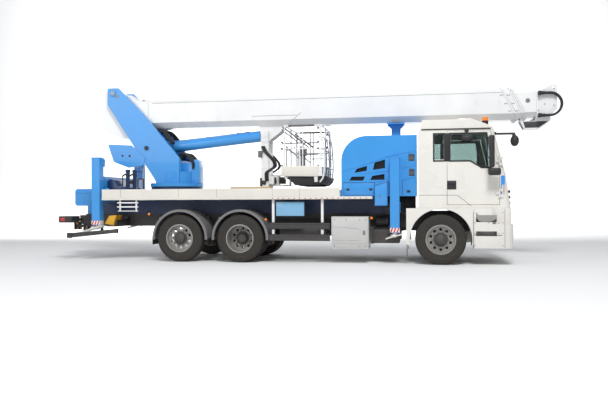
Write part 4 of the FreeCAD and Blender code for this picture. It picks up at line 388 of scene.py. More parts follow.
# The cab: pressed steel panels welded into a shell and sprayed a creamy white, with a
# clear lacquer over it. The doors and the lower panels have the same paint.
cab_white = surface_material("cab_white", (0.80, 0.775, 0.72), roughness=0.28, coat=0.6, dust=0.25,
                             dust_height=1.2, edge_radius=0.012)
dress(cab_white, "cab_shell", "cab_lower", "door_left", "door_right")
cab_side = 1.120

# The windows: tinted safety glass bonded into the cab and the doors.
# It is thin and flat, so what is behind it shows through a grey green.
window_glass = bpy.data.materials.new("window_glass")
window_glass.use_nodes = True
glass_tree = window_glass.node_tree
glass_shader = glass_tree.nodes["Principled BSDF"]
glass_place = wire(glass_tree, "TexCoord").outputs["Object"]
glass_film = wire(glass_tree, "TexNoise", Vector=glass_place, Scale=3.0, Detail=4.0).outputs["Fac"]
glass_rough = wire(glass_tree, "MapRange", Value=glass_film, To_Min=0.01, To_Max=0.06)
glass_tree.links.new(glass_rough.outputs[0], glass_shader.inputs["Roughness"])
glass_shader.inputs["Base Color"].default_value = (0.42, 0.52, 0.50, 1)
glass_shader.inputs["Transmission Weight"].default_value = 1.0
glass_shader.inputs["IOR"].default_value = 1.45
dress(window_glass, "cab_glass", "door_glass_left", "door_glass_right")

# The rubber seals: a moulded black profile round each side window and in the gutter.
# Each seal is a flat band that stands a little proud of the panel.
dark_plastic = surface_material("dark_plastic", (0.022, 0.022, 0.024), roughness=0.5, dust=0.2,
                                dust_height=1.4, edge_radius=0.008, texture_depth=0.0012, wear=0.0)
seal_rubber = surface_material("seal_rubber", (0.014, 0.014, 0.015), roughness=0.62, dust=0.1,
                               dust_height=1.4, edge_radius=0.002, texture_depth=0.0006, wear=0.0)
dress(dark_plastic, "cab_trim")
seal_width, seal_out = 0.030, 0.006


def plate(mesh, outline, near, far, bevel=0.0):
    """A flat plate in the side plane: (x, z) corners from the front axle, between two y."""
    corners = [mesh.verts.new(at(x, near, z)) for x, z in outline]
    face = mesh.faces.new(corners)
    grown = bmesh.ops.extrude_face_region(mesh, geom=[face])["geom"]
    tops = [v for v in grown if isinstance(v, bmesh.types.BMVert)]
    bmesh.ops.translate(mesh, vec=(0, far - near, 0), verts=tops)
    made = corners + tops
    faces = list({face for vert in made for face in vert.link_faces})
    bmesh.ops.recalc_face_normals(mesh, faces=faces)
    if bevel:
        edges = list({edge for face in faces for edge in face.edges})
        bmesh.ops.bevel(mesh, geom=edges, offset=bevel, segments=2, profile=0.5, affect="EDGES",
                        material=-1)


def strip(mesh, line, width, near, far):
    """A narrow raised band that follows (x, z) points along a side of the truck."""
    for (x0, z0), (x1, z1) in zip(line, line[1:]):
        length = math.hypot(x1 - x0, z1 - z0)
        nx, nz = -(z1 - z0) / length * width / 2, (x1 - x0) / length * width / 2
        plate(mesh, [(x0 + nx, z0 + nz), (x0 - nx, z0 - nz), (x1 - nx, z1 - nz), (x1 + nx, z1 + nz)],
              near, far)


def window_seal(mesh, outline, near, far):
    """A rubber profile round a window: one strip for each side, lapped at the corners."""
    for number, (start, end) in enumerate(zip(outline, outline[1:] + outline[:1])):
        start, end = Vector(start), Vector(end)
        lap = (end - start).normalized() * seal_width / 2
        lift = far * 0.0001 * number
        strip(mesh, (start - lap, end + lap), seal_width, near, far + lift)


for side, sign in side_signs:
    near, far = sign * (cab_side - 0.004), sign * (cab_side + seal_out)
    seal_mesh = bmesh.new()
    window_seal(seal_mesh, [(0.188, 2.664), (0.898, 2.664), (0.984, 1.966), (0.812, 1.968), (0.588, 2.106),
                            (0.188, 2.106)], near, far)
    finished("door_window_seal_" + side, seal_mesh, seal_rubber, "door_" + side)
    trim_mesh = bmesh.new()
    window_seal(trim_mesh, [(-0.132, 2.664), (0.087, 2.664), (0.087, 2.112), (-0.132, 2.112)], near, far)
    slab(trim_mesh, at(-0.380, near, 2.742), at(0.990, sign * (cab_side + 0.014), 2.766), 0.004)
    strip(trim_mesh, ((-0.431, 1.416), (-0.140, 1.414)), 0.007, near, sign * (cab_side + 0.001))
    finished("window_trim_" + side, trim_mesh, seal_rubber, "chassis")
    pillar_mesh = bmesh.new()
    slab(pillar_mesh, at(0.100, near, 2.098), at(0.176, far, 2.672), 0.003)
    strip(pillar_mesh, ((1.000, 1.975), (0.912, 2.672)), 0.030, near, far)
    strip(pillar_mesh, ((-0.128, 1.414), (0.337, 1.412), (0.611, 1.192)), 0.007, near,
          sign * (cab_side + 0.001))
    finished("door_pillars_" + side, pillar_mesh, seal_rubber, "door_" + side)

# The door handles: a moulded black dish let into the door, with a pull bar across it.
# A round lock barrel sits beside the bar.
for side, sign in side_signs:
    handle_mesh = bmesh.new()
    face_y = sign * cab_side
    slab(handle_mesh, at(0.132, face_y - sign * 0.002, 1.530), at(0.313, face_y + sign * 0.013, 1.706), 0.008)
    slab(handle_mesh, at(0.148, face_y + sign * 0.010, 1.640), at(0.297, face_y + sign * 0.032, 1.682), 0.012,
         3)
    rod(handle_mesh, at(0.275, face_y, 1.580), at(0.275, face_y + sign * 0.018, 1.580), 0.013)
    finished("door_handle_" + side, handle_mesh, dark_plastic, "door_" + side)

# The cab's inside: moulded dark trim and seats in woven cloth, seen through the glass.
# Head restraints on two posts each finish what shows.
cab_fabric = surface_material("cab_fabric", (0.050, 0.052, 0.056), roughness=0.85, dust=0.0,
                              edge_radius=0.02, texture_depth=0.003, specular=0.3, wear=0.0)
dress(cab_fabric, "cab_interior")
for number, seat_y in enumerate((0.520, -0.520)):
    rest_mesh = bmesh.new()
    slab(rest_mesh, at(-0.260, seat_y - 0.150, 2.440), at(-0.150, seat_y + 0.150, 2.640), 0.045, 4)
    for offset in (-0.07, 0.07):
        rod(rest_mesh, at(-0.205, seat_y + offset, 2.380), at(-0.205, seat_y + offset, 2.450), 0.008)
    finished("head_restraint_%d" % number, rest_mesh, cab_fabric, "chassis")

# The mirrors: tall moulded housings on arms from the doors. Each holds a large flat glass
# over a smaller flat one, facing back, and a small housing at the foot looks down.
mirror_glass = bpy.data.materials.new("mirror_glass")
mirror_glass.use_nodes = True
mirror_tree = mirror_glass.node_tree
mirror_shader = mirror_tree.nodes["Principled BSDF"]
mirror_place = wire(mirror_tree, "TexCoord").outputs["Object"]
mirror_film = wire(mirror_tree, "TexNoise", Vector=mirror_place, Scale=6.0, Detail=3.0).outputs["Fac"]
mirror_rough = wire(mirror_tree, "MapRange", Value=mirror_film, To_Min=0.02, To_Max=0.07)
mirror_tree.links.new(mirror_rough.outputs[0], mirror_shader.inputs["Roughness"])
mirror_shader.inputs["Base Color"].default_value = (0.80, 0.83, 0.84, 1)
mirror_shader.inputs["Metallic"].default_value = 1.0
for side, sign in side_signs:
    node = "mirror_" + side
    low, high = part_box(node)
    inner = min(abs(low[1]), abs(high[1]))
    outer = max(abs(low[1]), abs(high[1]))
    face_y, far_y = outer - 0.210, outer
    arm_x = 0.970
    housing_mesh = bmesh.new()
    slab(housing_mesh, (low[0], sign * face_y, low[2] + 0.125), (high[0], sign * far_y, high[2]), 0.036, 4)
    slab(housing_mesh, (low[0] - 0.006, sign * (face_y + 0.004), low[2] - 0.030),
         (low[0] + 0.230, sign * (far_y - 0.004), low[2] + 0.112), 0.040, 4)
    for height in (low[2] + 0.070, high[2] - 0.070):
        rod(housing_mesh, at(arm_x, sign * inner, height), at(arm_x, sign * (face_y + 0.03), height), 0.016)
        slab(housing_mesh, at(0.935, sign * inner, height - 0.045),
             at(1.005, sign * (inner + 0.012), height + 0.045), 0.005)
    rod(housing_mesh, at(arm_x, sign * (face_y + 0.012), low[2] + 0.06),
        at(arm_x, sign * (face_y + 0.012), high[2] - 0.06), 0.014)
    housing = finished("mirror_housing_" + side, housing_mesh, dark_plastic, "door_" + side)
    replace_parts(housing, node)
    glass_mesh = bmesh.new()
    for bottom, top in ((low[2] + 0.335, high[2] - 0.030), (low[2] + 0.145, low[2] + 0.315)):
        slab(glass_mesh, (low[0] - 0.003, sign * (face_y + 0.022), bottom),
             (low[0] + 0.004, sign * (far_y - 0.022), top), 0.002)
    finished("mirror_glass_" + side, glass_mesh, mirror_glass, "door_" + side)

# The kerb mirror: a domed dark pod on a short foot over the right door window.
# It looks down beside the front wheel.
def bars(mesh, side, rows, segments=16):
    """Round bars in the mesh: each row holds two ends, y times side, and a radius."""
    for x0, y0, z0, x1, y1, z1, radius in rows:
        rod(mesh, at(x0, side * y0, z0), at(x1, side * y1, z1), radius, segments=segments)


kerb_x = 0.520
kerb_mesh = bmesh.new()
pod = bmesh.ops.create_uvsphere(kerb_mesh, u_segments=28, v_segments=16, radius=1.0)["verts"]
bmesh.ops.scale(kerb_mesh, verts=pod, vec=(0.130, 0.085, 0.075))
bmesh.ops.translate(kerb_mesh, verts=pod, vec=at(kerb_x, -cab_side - 0.105, 2.560))
slab(kerb_mesh, at(0.480, -cab_side + 0.004, 2.690), at(0.560, -cab_side - 0.020, 2.745), 0.008)
bars(kerb_mesh, 1, [
    (kerb_x, -cab_side - 0.012, 2.715, kerb_x, -cab_side - 0.085, 2.640, 0.016),
    (kerb_x, -cab_side - 0.085, 2.650, kerb_x, -cab_side - 0.100, 2.590, 0.018)])
finished("kerb_mirror", kerb_mesh, dark_plastic, "chassis")

# The roof lamps: amber beacons on black foot rings at the front corners, and a short
# white lamp bar behind the right one.
beacon_amber = surface_material("beacon_amber", (0.90, 0.20, 0.01), roughness=0.15, coat=0.8, dust=0.0,
                                edge_radius=0.012, wear=0.0)
beacon_amber.node_tree.nodes["Principled BSDF"].inputs["Emission Color"].default_value = (1.0, 0.22, 0.01, 1)
beacon_amber.node_tree.nodes["Principled BSDF"].inputs["Emission Strength"].default_value = 0.25
low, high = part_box("beacons")
beacon_top, beacon_radius = high[2], 0.062
beacon_x, beacon_y = (low[0] + high[0]) / 2, high[1] - beacon_radius
beacon_mesh = bmesh.new()
foot_mesh = bmesh.new()
for sign in (1, -1):
    rings = [(0.085, 0.058), (0.080, 0.0605), (0.040, 0.061), (0.036, 0.0585), (0.030, 0.061),
             (0.010, 0.0595), (0.002, 0.050), (0.0, 0.0)]
    seat = bmesh.ops.create_cone(foot_mesh, cap_ends=True, segments=32, radius1=0.070, radius2=0.066,
                                 depth=0.100)["verts"]
    bmesh.ops.translate(foot_mesh, verts=seat, vec=(beacon_x, sign * beacon_y, beacon_top - 0.130))
    line = [beacon_mesh.verts.new((beacon_x + r, sign * beacon_y, beacon_top - z)) for z, r in rings]
    edges = [beacon_mesh.edges.new(pair) for pair in zip(line, line[1:])]
    bmesh.ops.spin(beacon_mesh, geom=line + edges, cent=(beacon_x, sign * beacon_y, 0), axis=(0, 0, 1),
                   dvec=(0, 0, 0), angle=math.radians(360), steps=32, use_merge=True)
bmesh.ops.remove_doubles(beacon_mesh, verts=beacon_mesh.verts, dist=0.00002)
bmesh.ops.recalc_face_normals(beacon_mesh, faces=beacon_mesh.faces)
beacon_piece = finished("beacon_domes", beacon_mesh, beacon_amber, "chassis")
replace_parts(beacon_piece, "beacons")
finished("beacon_feet", foot_mesh, seal_rubber, "chassis")
bar_mesh = bmesh.new()
for sign in (1, -1):
    slab(bar_mesh, at(0.340, sign * 0.800, 2.948), at(0.640, sign * 0.980, 2.985), 0.012, 3)
finished("roof_lamp_bars", bar_mesh, cab_white, "chassis")

# The wipers and the front mirror: three wipers on pivots below the windscreen lie along
# its lower edge, over a black cowl. A dark pod hangs ahead of the cab on a bent arm.
screen_foot, screen_rise = 1.290, 1.830
screen_slope = (1.050 - screen_foot) / (2.790 - screen_rise)


def on_screen(y, z, out=0.0):
    """A place on the windscreen's plane, a little in front of it."""
    return at(screen_foot + (z - screen_rise) * screen_slope + out, y, z)


pivot_z = 1.850
wiper_mesh = bmesh.new()
for pivot_y in (-0.720, -0.060, 0.600):
    rod(wiper_mesh, on_screen(pivot_y, pivot_z, 0.0), on_screen(pivot_y, pivot_z, 0.035), 0.016)
    rod(wiper_mesh, on_screen(pivot_y, pivot_z, 0.028), on_screen(pivot_y + 0.330, 1.985, 0.022),
        0.009, 0.006)
    rod(wiper_mesh, on_screen(pivot_y + 0.050, 1.905, 0.012), on_screen(pivot_y + 0.600, 2.045, 0.012), 0.007)
slab(wiper_mesh, at(1.262, -1.000, 1.818), at(1.292, 1.000, 1.862), 0.008)
finished("wipers", wiper_mesh, seal_rubber, "chassis")
pod_y = -1.000
mirror_mesh = bmesh.new()
pod = bmesh.ops.create_uvsphere(mirror_mesh, u_segments=32, v_segments=18, radius=1.0)["verts"]
bmesh.ops.scale(mirror_mesh, verts=pod, vec=(0.084, 0.118, 0.114))
bmesh.ops.translate(mirror_mesh, verts=pod, vec=at(1.470, pod_y, 2.505))
rod(mirror_mesh, at(1.030, pod_y, 2.652), at(1.474, pod_y, 2.650), 0.023)
rod(mirror_mesh, at(1.455, pod_y, 2.655), at(1.462, pod_y, 2.570), 0.026, 0.050)
slab(mirror_mesh, at(1.040, -1.045, 2.625), at(1.110, -0.955, 2.690), 0.012)
finished("front_mirror_pod", mirror_mesh, dark_plastic, "chassis")

# Corner bands: a short blue band on each front corner of the cab, with a red and
# white reflector beside it. Both are cut film on the paint.
corner_blue = surface_material("corner_blue", (0.045, 0.30, 0.80), roughness=0.30, coat=0.3, dust=0.2,
                               dust_height=1.4, wear=0.0)
corner_mesh = bmesh.new()
corner_red = surface_material("corner_red", (0.58, 0.020, 0.016), roughness=0.28, coat=0.4, dust=0.15,
                              dust_height=1.4, edge_radius=0.001, wear=0.0)
red_mesh = bmesh.new()
for sign in (1, -1):
    near, far = sign * (cab_side - 0.001), sign * (cab_side + 0.003)
    plate(corner_mesh, [(1.186, 1.620), (1.262, 1.620), (1.262, 1.800), (1.186, 1.800)], near, far)
    plate(corner_mesh, [(1.186, 1.385), (1.205, 1.385), (1.205, 1.619), (1.186, 1.619)], near, far)
    for number in range(4):
        slab(red_mesh, at(1.236, near, 1.425 + 0.046 * number), at(1.252, far, 1.455 + 0.046 * number))
finished("corner_bands", corner_mesh, corner_blue, "chassis")
finished("corner_reflectors", red_mesh, corner_red, "chassis")

# The headlamps: a bowl reflector with two round lenses behind one clear cover, in a
# dark surround, and a fog lamp under each in the bumper.
lamp_lens = surface_material("lamp_lens", (0.62, 0.62, 0.60), metallic=0.4, roughness=0.12, coat=0.9,
                             dust=0.3, dust_height=1.2, edge_radius=0.004, wear=0.0)
lamp_clear = surface_material("lamp_clear", (0.86, 0.88, 0.88), metallic=0.7, roughness=0.08, coat=1.0,
                              dust=0.15, dust_height=1.2, edge_radius=0.003, wear=0.0)
dress(lamp_lens, "lamps")
lamp_x, lamp_middle = 1.417, 0.645
eye_mesh = bmesh.new()
surround_mesh = bmesh.new()
for sign in (1, -1):
    for offset, size in ((0.790, 0.058), (0.935, 0.058), (1.045, 0.036)):
        rod(eye_mesh, at(lamp_x - 0.003, sign * offset, lamp_middle),
            at(lamp_x + 0.003, sign * offset, lamp_middle), size, size * 0.86, segments=32)
        rod(surround_mesh, at(lamp_x - 0.004, sign * offset, lamp_middle),
            at(lamp_x + 0.0005, sign * offset, lamp_middle), size + 0.008, segments=32)
    rod(surround_mesh, at(1.422, sign * 0.860, 0.440), at(1.428, sign * 0.860, 0.440), 0.062, segments=32)
    rod(eye_mesh, at(1.424, sign * 0.860, 0.440), at(1.432, sign * 0.860, 0.440), 0.048, 0.040, segments=32)
finished("lamp_eyes", eye_mesh, lamp_clear, "chassis")
finished("lamp_surrounds", surround_mesh, dark_plastic, "chassis")

# The bumper's fittings: a blank number plate on a dark holder, two tow eye covers, a
# row of screws on each step panel, and a grey plate over the handrail recess above the steps, painted shade
# of the hollow behind it.
plate_white = surface_material("plate_white", (0.80, 0.80, 0.78), roughness=0.35, coat=0.3, dust=0.3,
                               dust_height=1.2, edge_radius=0.002, wear=0.0)
# Mid grey: painted shade in the step recesses, and also the deck's own seam colour.
recess_shade_and_seam_grey = surface_material("recess_shade_and_seam_grey", (0.30, 0.29, 0.27), roughness=0.55, dust=0.3,
                               dust_height=1.3, edge_radius=0.003, texture_depth=0.0008)
holder_mesh = bmesh.new()
slab(holder_mesh, at(1.424, -0.275, 0.455), at(1.430, 0.275, 0.585), 0.003)
for offset in (0.480, -0.480):
    rod(holder_mesh, at(1.424, offset, 0.430), at(1.429, offset, 0.430), 0.050, segments=28)
slab(holder_mesh, at(1.424, -0.640, 0.640), at(1.428, 0.640, 0.735), 0.004)
finished("plate_holder", holder_mesh, dark_plastic, "chassis")
plate_mesh = bmesh.new()
slab(plate_mesh, at(1.429, -0.260, 0.465), at(1.434, 0.260, 0.575), 0.002)
finished("number_plate", plate_mesh, plate_white, "chassis")
step_well_shade_mesh = bmesh.new()
screw_mesh = bmesh.new()
slot_mesh = bmesh.new()
side_face = 1.230
for sign in (1, -1):
    near, far = sign * (side_face - 0.001), sign * (side_face + 0.003)
    # Painted shade: a flat grey plate over the recess above the upper step stands in for the shade inside it.
    plate(step_well_shade_mesh, [(0.690, 1.072), (0.690, 0.980), (0.730, 0.905), (0.800, 0.878), (0.960, 0.878),
                        (1.060, 0.915), (1.098, 0.990), (1.098, 1.010), (0.740, 1.010)], near, far)
    strip(slot_mesh, ((0.650, 0.612), (1.188, 0.608)), 0.010, near, far)
    strip(slot_mesh, ((0.640, 0.350), (0.640, 1.080)), 0.006, near, far)
    strip(slot_mesh, ((1.245, 0.352), (1.245, 1.125)), 0.006, near, far)
    for x, z in ((0.668, 0.860), (0.668, 0.640), (1.130, 0.850), (1.130, 0.640), (0.668, 0.400),
                 (1.205, 0.400), (0.930, 0.862), (1.205, 0.860), (1.205, 0.650), (1.205, 1.060)):
        rod(screw_mesh, at(x, near, z), at(x, sign * (side_face + 0.006), z), 0.010, segments=12)
finished("step_well_shades", step_well_shade_mesh, recess_shade_and_seam_grey, "chassis")
finished("step_slots", slot_mesh, dark_plastic, "chassis")
finished("step_screws", screw_mesh, nut_steel, "chassis")

# Step treads: pressed plates with a raised bar pattern on the floor of each step well.
# They are plain metal with worn tops.
tread_metal = surface_material("tread_metal", (0.30, 0.30, 0.30), metallic=0.8, roughness=0.42, dust=0.4,
                               dust_height=1.2, edge_radius=0.001)
tread_mesh = bmesh.new()
for sign in (1, -1):
    for base in (0.590, 0.870):
        slab(tread_mesh, at(0.700, sign * 0.965, base + 0.0005), at(1.085, sign * 1.224, base + 0.005), 0.001)
        for column in range(8):
            for row in range(5):
                x, y = 0.722 + 0.045 * column, 0.990 + 0.050 * row
                slab(tread_mesh, at(x, sign * y, base + 0.004),
                     at(x + 0.026, sign * (y + 0.008), base + 0.008))
finished("step_treads", tread_mesh, tread_metal, "chassis")

# The front fender's rubber: a flap bolted behind the wheel through a steel strip, and
# the liner's crown sheet over the tyre.
def blocks(mesh, side, rows):
    """Blocks in the mesh: each row holds two corners, y times side, and an edge rounding."""
    for x0, y0, z0, x1, y1, z1, bevel in rows:
        slab(mesh, at(x0, side * y0, z0), at(x1, side * y1, z1), bevel)


flap_mesh = bmesh.new()
strip_mesh = bmesh.new()
for sign in (1, -1):
    blocks(flap_mesh, sign, [
        (-0.680, 0.930, 0.170, -0.670, 1.195, 0.420, 0.002),
        (-0.300, 0.560, 1.128, 0.280, 1.100, 1.146, 0.004)])
    slab(strip_mesh, at(-0.684, sign * 0.935, 0.395), at(-0.666, sign * 1.190, 0.415), 0.002)
finished("front_flaps", flap_mesh, seal_rubber, "chassis")
finished("flap_strips", strip_mesh, nut_steel, "chassis")

# The hood: one moulded shell in bright blue two-coat paint, with pressed creases along
# its sides, a shut line round the lower door and a dark net behind every slot.
bright_blue = surface_material("bright_blue", (0.045, 0.30, 0.72), roughness=0.30, coat=0.45, dust=0.10,
                               dust_height=1.8, edge_radius=0.010)
dress(bright_blue, "hood")
hood_side = 1.030
crease_mesh = bmesh.new()
seam_mesh = bmesh.new()
net_mesh = bmesh.new()
latch_mesh = bmesh.new()
for sign in (1, -1):
    near, far = sign * (hood_side - 0.002), sign * (hood_side + 0.006)
    for line in (((-1.990, 1.925), (-1.500, 2.080), (-1.076, 2.222), (-0.800, 2.290), (-0.480, 2.332)),
                 ((-1.700, 1.872), (-1.077, 1.930), (-1.050, 1.932)), ((-0.760, 1.985), (-0.480, 2.042)),
                 ((-0.765, 1.735), (-0.480, 1.795))):
        strip(crease_mesh, line, 0.016, near, far)
    plate(crease_mesh, [(-1.990, 1.420), (-1.350, 1.420), (-1.350, 1.668), (-1.975, 1.672)], near,
          sign * (hood_side + 0.012), 0.004)
    strip(seam_mesh, ((-0.768, 1.405), (-0.768, 1.728), (-0.500, 1.788)), 0.007, near,
          sign * (hood_side + 0.002))
    strip(seam_mesh, ((-2.010, 1.690), (-1.340, 1.686), (-1.340, 1.405)), 0.007, near,
          sign * (hood_side + 0.002))
    for x, z in ((-1.900, 1.545), (-1.420, 1.545), (-0.640, 1.500)):
        slab(latch_mesh, at(x - 0.034, sign * (hood_side + 0.008), z - 0.022),
             at(x + 0.034, sign * (hood_side + 0.017), z + 0.022), 0.004)
        rod(latch_mesh, at(x + 0.012, sign * (hood_side + 0.010), z),
            at(x + 0.012, sign * (hood_side + 0.024), z), 0.010)
    blocks(net_mesh, sign, [
        (-1.960, hood_side - 0.110, 1.695, -1.060, hood_side - 0.100, 2.180, 0.0),
        (-0.655, hood_side - 0.110, 1.730, -0.500, hood_side - 0.100, 2.290, 0.0)])
    for left, right, bottom, top in ((-1.780, -1.480, 1.880, 2.050), (-1.390, -1.105, 1.930, 2.175),
                                     (-1.885, -1.525, 1.715, 1.830), (-1.445, -1.120, 1.725, 1.875)):
        for number in range(int((right - left) / 0.030)):
            x = left + 0.015 + 0.030 * number
            slab(net_mesh, at(x, sign * (hood_side - 0.040), bottom),
                 at(x + 0.007, sign * (hood_side - 0.034), top))
        for number in range(int((top - bottom) / 0.030)):
            z = bottom + 0.015 + 0.030 * number
            slab(net_mesh, at(left, sign * (hood_side - 0.036), z),
                 at(right, sign * (hood_side - 0.030), z + 0.007))
finished("hood_creases", crease_mesh, bright_blue, "chassis", 25)
finished("hood_seams", seam_mesh, seal_rubber, "chassis")
finished("hood_latches", latch_mesh, dark_plastic, "chassis")
finished("hood_nets", net_mesh, dark_plastic, "chassis")

# The front louvres: two stacks of grey slats in each side of the hood, behind the cab.
# Warm air leaves through them.
louvre_grey = surface_material("louvre_grey", (0.42, 0.42, 0.40), roughness=0.5, dust=0.2, dust_height=2.0,
                               edge_radius=0.003, wear=0.0)
louvre_mesh = bmesh.new()
for sign in (1, -1):
    for base in (2.130, 1.820):
        for number in range(5):
            z = base + 0.014 + 0.026 * number
            plate(louvre_mesh, [(-0.636, z), (-0.524, z), (-0.524, z + 0.006), (-0.636, z + 0.006)],
                  sign * (hood_side - 0.022), sign * (hood_side - 0.001))
finished("hood_louvres", louvre_mesh, louvre_grey, "chassis")

# The boom rest: the hood's post carries a flared steel seat in the same blue.
# A black rubber pad takes the boom.
dress(bright_blue, "boom_rest")
pad_mesh = bmesh.new()
low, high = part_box("boom_rest")
rest_top, rest_middle = high[2], (low[0] + high[0]) / 2
slab(pad_mesh, (rest_middle - 0.085, -0.270, rest_top - 0.001),
     (rest_middle + 0.085, 0.270, rest_top + 0.009), 0.003)
finished("rest_pad", pad_mesh, seal_rubber, "chassis")

# The control box: folded blue sheet on the hood's side, with a sloping lid on two
# hinges, a quarter-turn lock and a drip lip under the lid.
dress(bright_blue, "control_box")
box_low, box_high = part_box("control_box")
left, right = box_low[0] - front_axle, box_high[0] - front_axle
box_mesh = bmesh.new()
box_face = abs(box_low[1])
fall = 0.080 / (right - left)
plate(box_mesh, [(left - 0.012, box_high[2] - 0.080), (right + 0.004, box_high[2] + 0.001),
                 (right + 0.004, box_high[2] + 0.014), (left - 0.012, box_high[2] - 0.066)],
      -hood_side, -box_face - 0.014, 0.003)
plate(box_mesh, [(left + 0.012, box_low[2] + 0.015), (right - 0.012, box_low[2] + 0.015),
                 (right - 0.012, box_high[2] - 0.035), (left + 0.012, box_high[2] - 0.110)],
      -box_face + 0.001, -box_face - 0.005, 0.002)
finished("control_box_lid", box_mesh, bright_blue, "chassis")
lock_mesh = bmesh.new()
rod(lock_mesh, at(-1.227, -box_face, 1.398), at(-1.227, -box_face - 0.016, 1.398), 0.016, segments=20)
slab(lock_mesh, at(-1.233, -box_face - 0.014, 1.372), at(-1.221, -box_face - 0.020, 1.424), 0.003)
for x in (-1.290, -1.110):
    rod(lock_mesh, at(x - 0.020, -hood_side - 0.012, 1.650 + (x + 1.330) * fall),
        at(x + 0.020, -hood_side - 0.012, 1.650 + (x + 1.330) * fall), 0.008)
finished("control_box_lock", lock_mesh, nut_steel, "chassis")

# The subframe: welded box beams between the rails and the deck, in navy paint, with a
# row of bolts to the rails.
navy_paint = surface_material("navy_paint", (0.005, 0.024, 0.095), roughness=0.36, coat=0.3, dust=0.25,
                              dust_height=1.8)
dress(navy_paint, "subframe")
bolt_mesh = bmesh.new()
for sign in (1, -1):
    for number in range(12):
        x = -7.700 + 0.560 * number
        slab(bolt_mesh, at(x - 0.040, sign * 0.480, 1.040), at(x + 0.040, sign * 0.486, 1.110), 0.003)
        for offset in (-0.020, 0.020):
            rod(bolt_mesh, at(x + offset, sign * 0.484, 1.075), at(x + offset, sign * 0.494, 1.075), 0.009,
                segments=6)
finished("subframe_plates", bolt_mesh, navy_paint, "chassis")

# The gear between the rails: air tanks, a battery crate, a silencer and pipe runs, all
# dark with road dirt, which show under the deck ahead of the rear wheels.
gear_mesh = bmesh.new()
for sign in (1, -1):
    for x0, x1, z, size in ((-3.420, -2.420, 0.640, 0.150), (-1.330, -1.080, 0.860, 0.110)):
        rod(gear_mesh, at(x0, sign * 0.660, z), at(x1, sign * 0.660, z), size, segments=28)
        for x in (x0 + 0.060, x1 - 0.075):
            rod(gear_mesh, at(x, sign * 0.660, z), at(x + 0.020, sign * 0.660, z), size + 0.006, segments=28)
            slab(gear_mesh, at(x, sign * 0.455, z + 0.060), at(x + 0.020, sign * 0.600, z + 0.130), 0.003)
    blocks(gear_mesh, sign, [
        (-1.400, 0.500, 0.420, -0.830, 0.960, 0.700, 0.020),
        (-1.385, 0.470, 0.690, -0.850, 0.700, 0.780, 0.010),
        (-1.180, 0.500, 1.000, -0.500, 0.560, 1.395, 0.012)])
    for number in range(4):
        slab(gear_mesh, at(-1.000 + 0.130 * number, sign * 0.558, 1.030),
             at(-0.950 + 0.130 * number, sign * 0.590, 1.380), 0.006)
    for number in range(5):
        rod(gear_mesh, at(-1.360, sign * (0.520 + 0.085 * number), 0.705),
            at(-0.870, sign * (0.520 + 0.085 * number), 0.705), 0.012, segments=8)
    for number, z in enumerate((0.800, 0.845, 0.905)):
        rod(gear_mesh, at(-3.500, sign * (0.466 + 0.012 * number), z),
            at(-1.150, sign * (0.466 + 0.012 * number), z), 0.009, segments=8)
    blocks(gear_mesh, sign, [
        (-3.560, 0.470, 0.560, -3.460, 1.150, 0.600, 0.006),
        (-2.420, 0.470, 0.560, -2.350, 1.150, 0.600, 0.006)])
finished("under_gear", gear_mesh, chassis_black, "chassis")

# The deck: folded steel sheet in cream paint on cross bearers, with seams between its
# side panels, a chequered walkway and a row of rivets along the lip.
deck_cream = surface_material("deck_cream", (0.74, 0.715, 0.65), roughness=0.48, coat=0.1, dust=0.1,
                              dust_height=2.0, texture_depth=0.001)
dress(deck_cream, "deck")
deck_side, rail_top = 1.250, 1.580
deck_seam_mesh = bmesh.new()
rivet_mesh = bmesh.new()
for sign in (1, -1):
    for x in (-6.900, -5.560, -4.700, -3.480, -2.900):
        slab(deck_seam_mesh, at(x, sign * (deck_side - 0.001), 1.390),
             at(x + 0.006, sign * (deck_side + 0.0015), 1.580))
    for number in range(44):
        x = -7.250 + 0.119 * number
        rod(rivet_mesh, at(x, sign * (deck_side - 0.002), 1.412), at(x, sign * (deck_side + 0.003), 1.412),
            0.007, segments=8)
finished("deck_seams", deck_seam_mesh, recess_shade_and_seam_grey, "chassis")
finished("deck_rivets", rivet_mesh, deck_cream, "chassis")
grip_mesh = bmesh.new()
for column in range(34):
    for row in range(10):
        x, y = -5.200 + 0.090 * column, -1.120 + 0.075 * row
        turn = 1 if (column + row) % 2 else -1
        for side_y in (y, -y):
            plate_x, plate_y = 0.014, 0.014 * turn
            corners = [grip_mesh.verts.new(at(x + dx, side_y + dy, 1.5475)) for dx, dy in
                       ((-plate_x, -plate_y - 0.003), (plate_x, plate_y - 0.003),
                        (plate_x, plate_y + 0.003), (-plate_x, -plate_y + 0.003))]
            grip_mesh.faces.new(corners)
made = bmesh.ops.extrude_face_region(grip_mesh, geom=grip_mesh.faces[:])["geom"]
bmesh.ops.translate(grip_mesh, vec=(0, 0, -0.004),
                    verts=[v for v in made if isinstance(v, bmesh.types.BMVert)])
bmesh.ops.recalc_face_normals(grip_mesh, faces=grip_mesh.faces)
finished("deck_grip", grip_mesh, tread_metal, "chassis")
hoop_y, hoop_radius = 1.230, 0.0155
hoop_mesh = bmesh.new()
for sign in (1, -1):
    for x in (-6.500, -6.370):
        rod(hoop_mesh, at(x, sign * hoop_y, rail_top - 0.002), at(x, sign * hoop_y, rail_top + 0.222),
            hoop_radius)
    rod(hoop_mesh, at(-6.514, sign * hoop_y, rail_top + 0.226), at(-6.356, sign * hoop_y, rail_top + 0.226),
        hoop_radius)
finished("deck_hoop_sleeves", hoop_mesh, dark_plastic, "chassis")

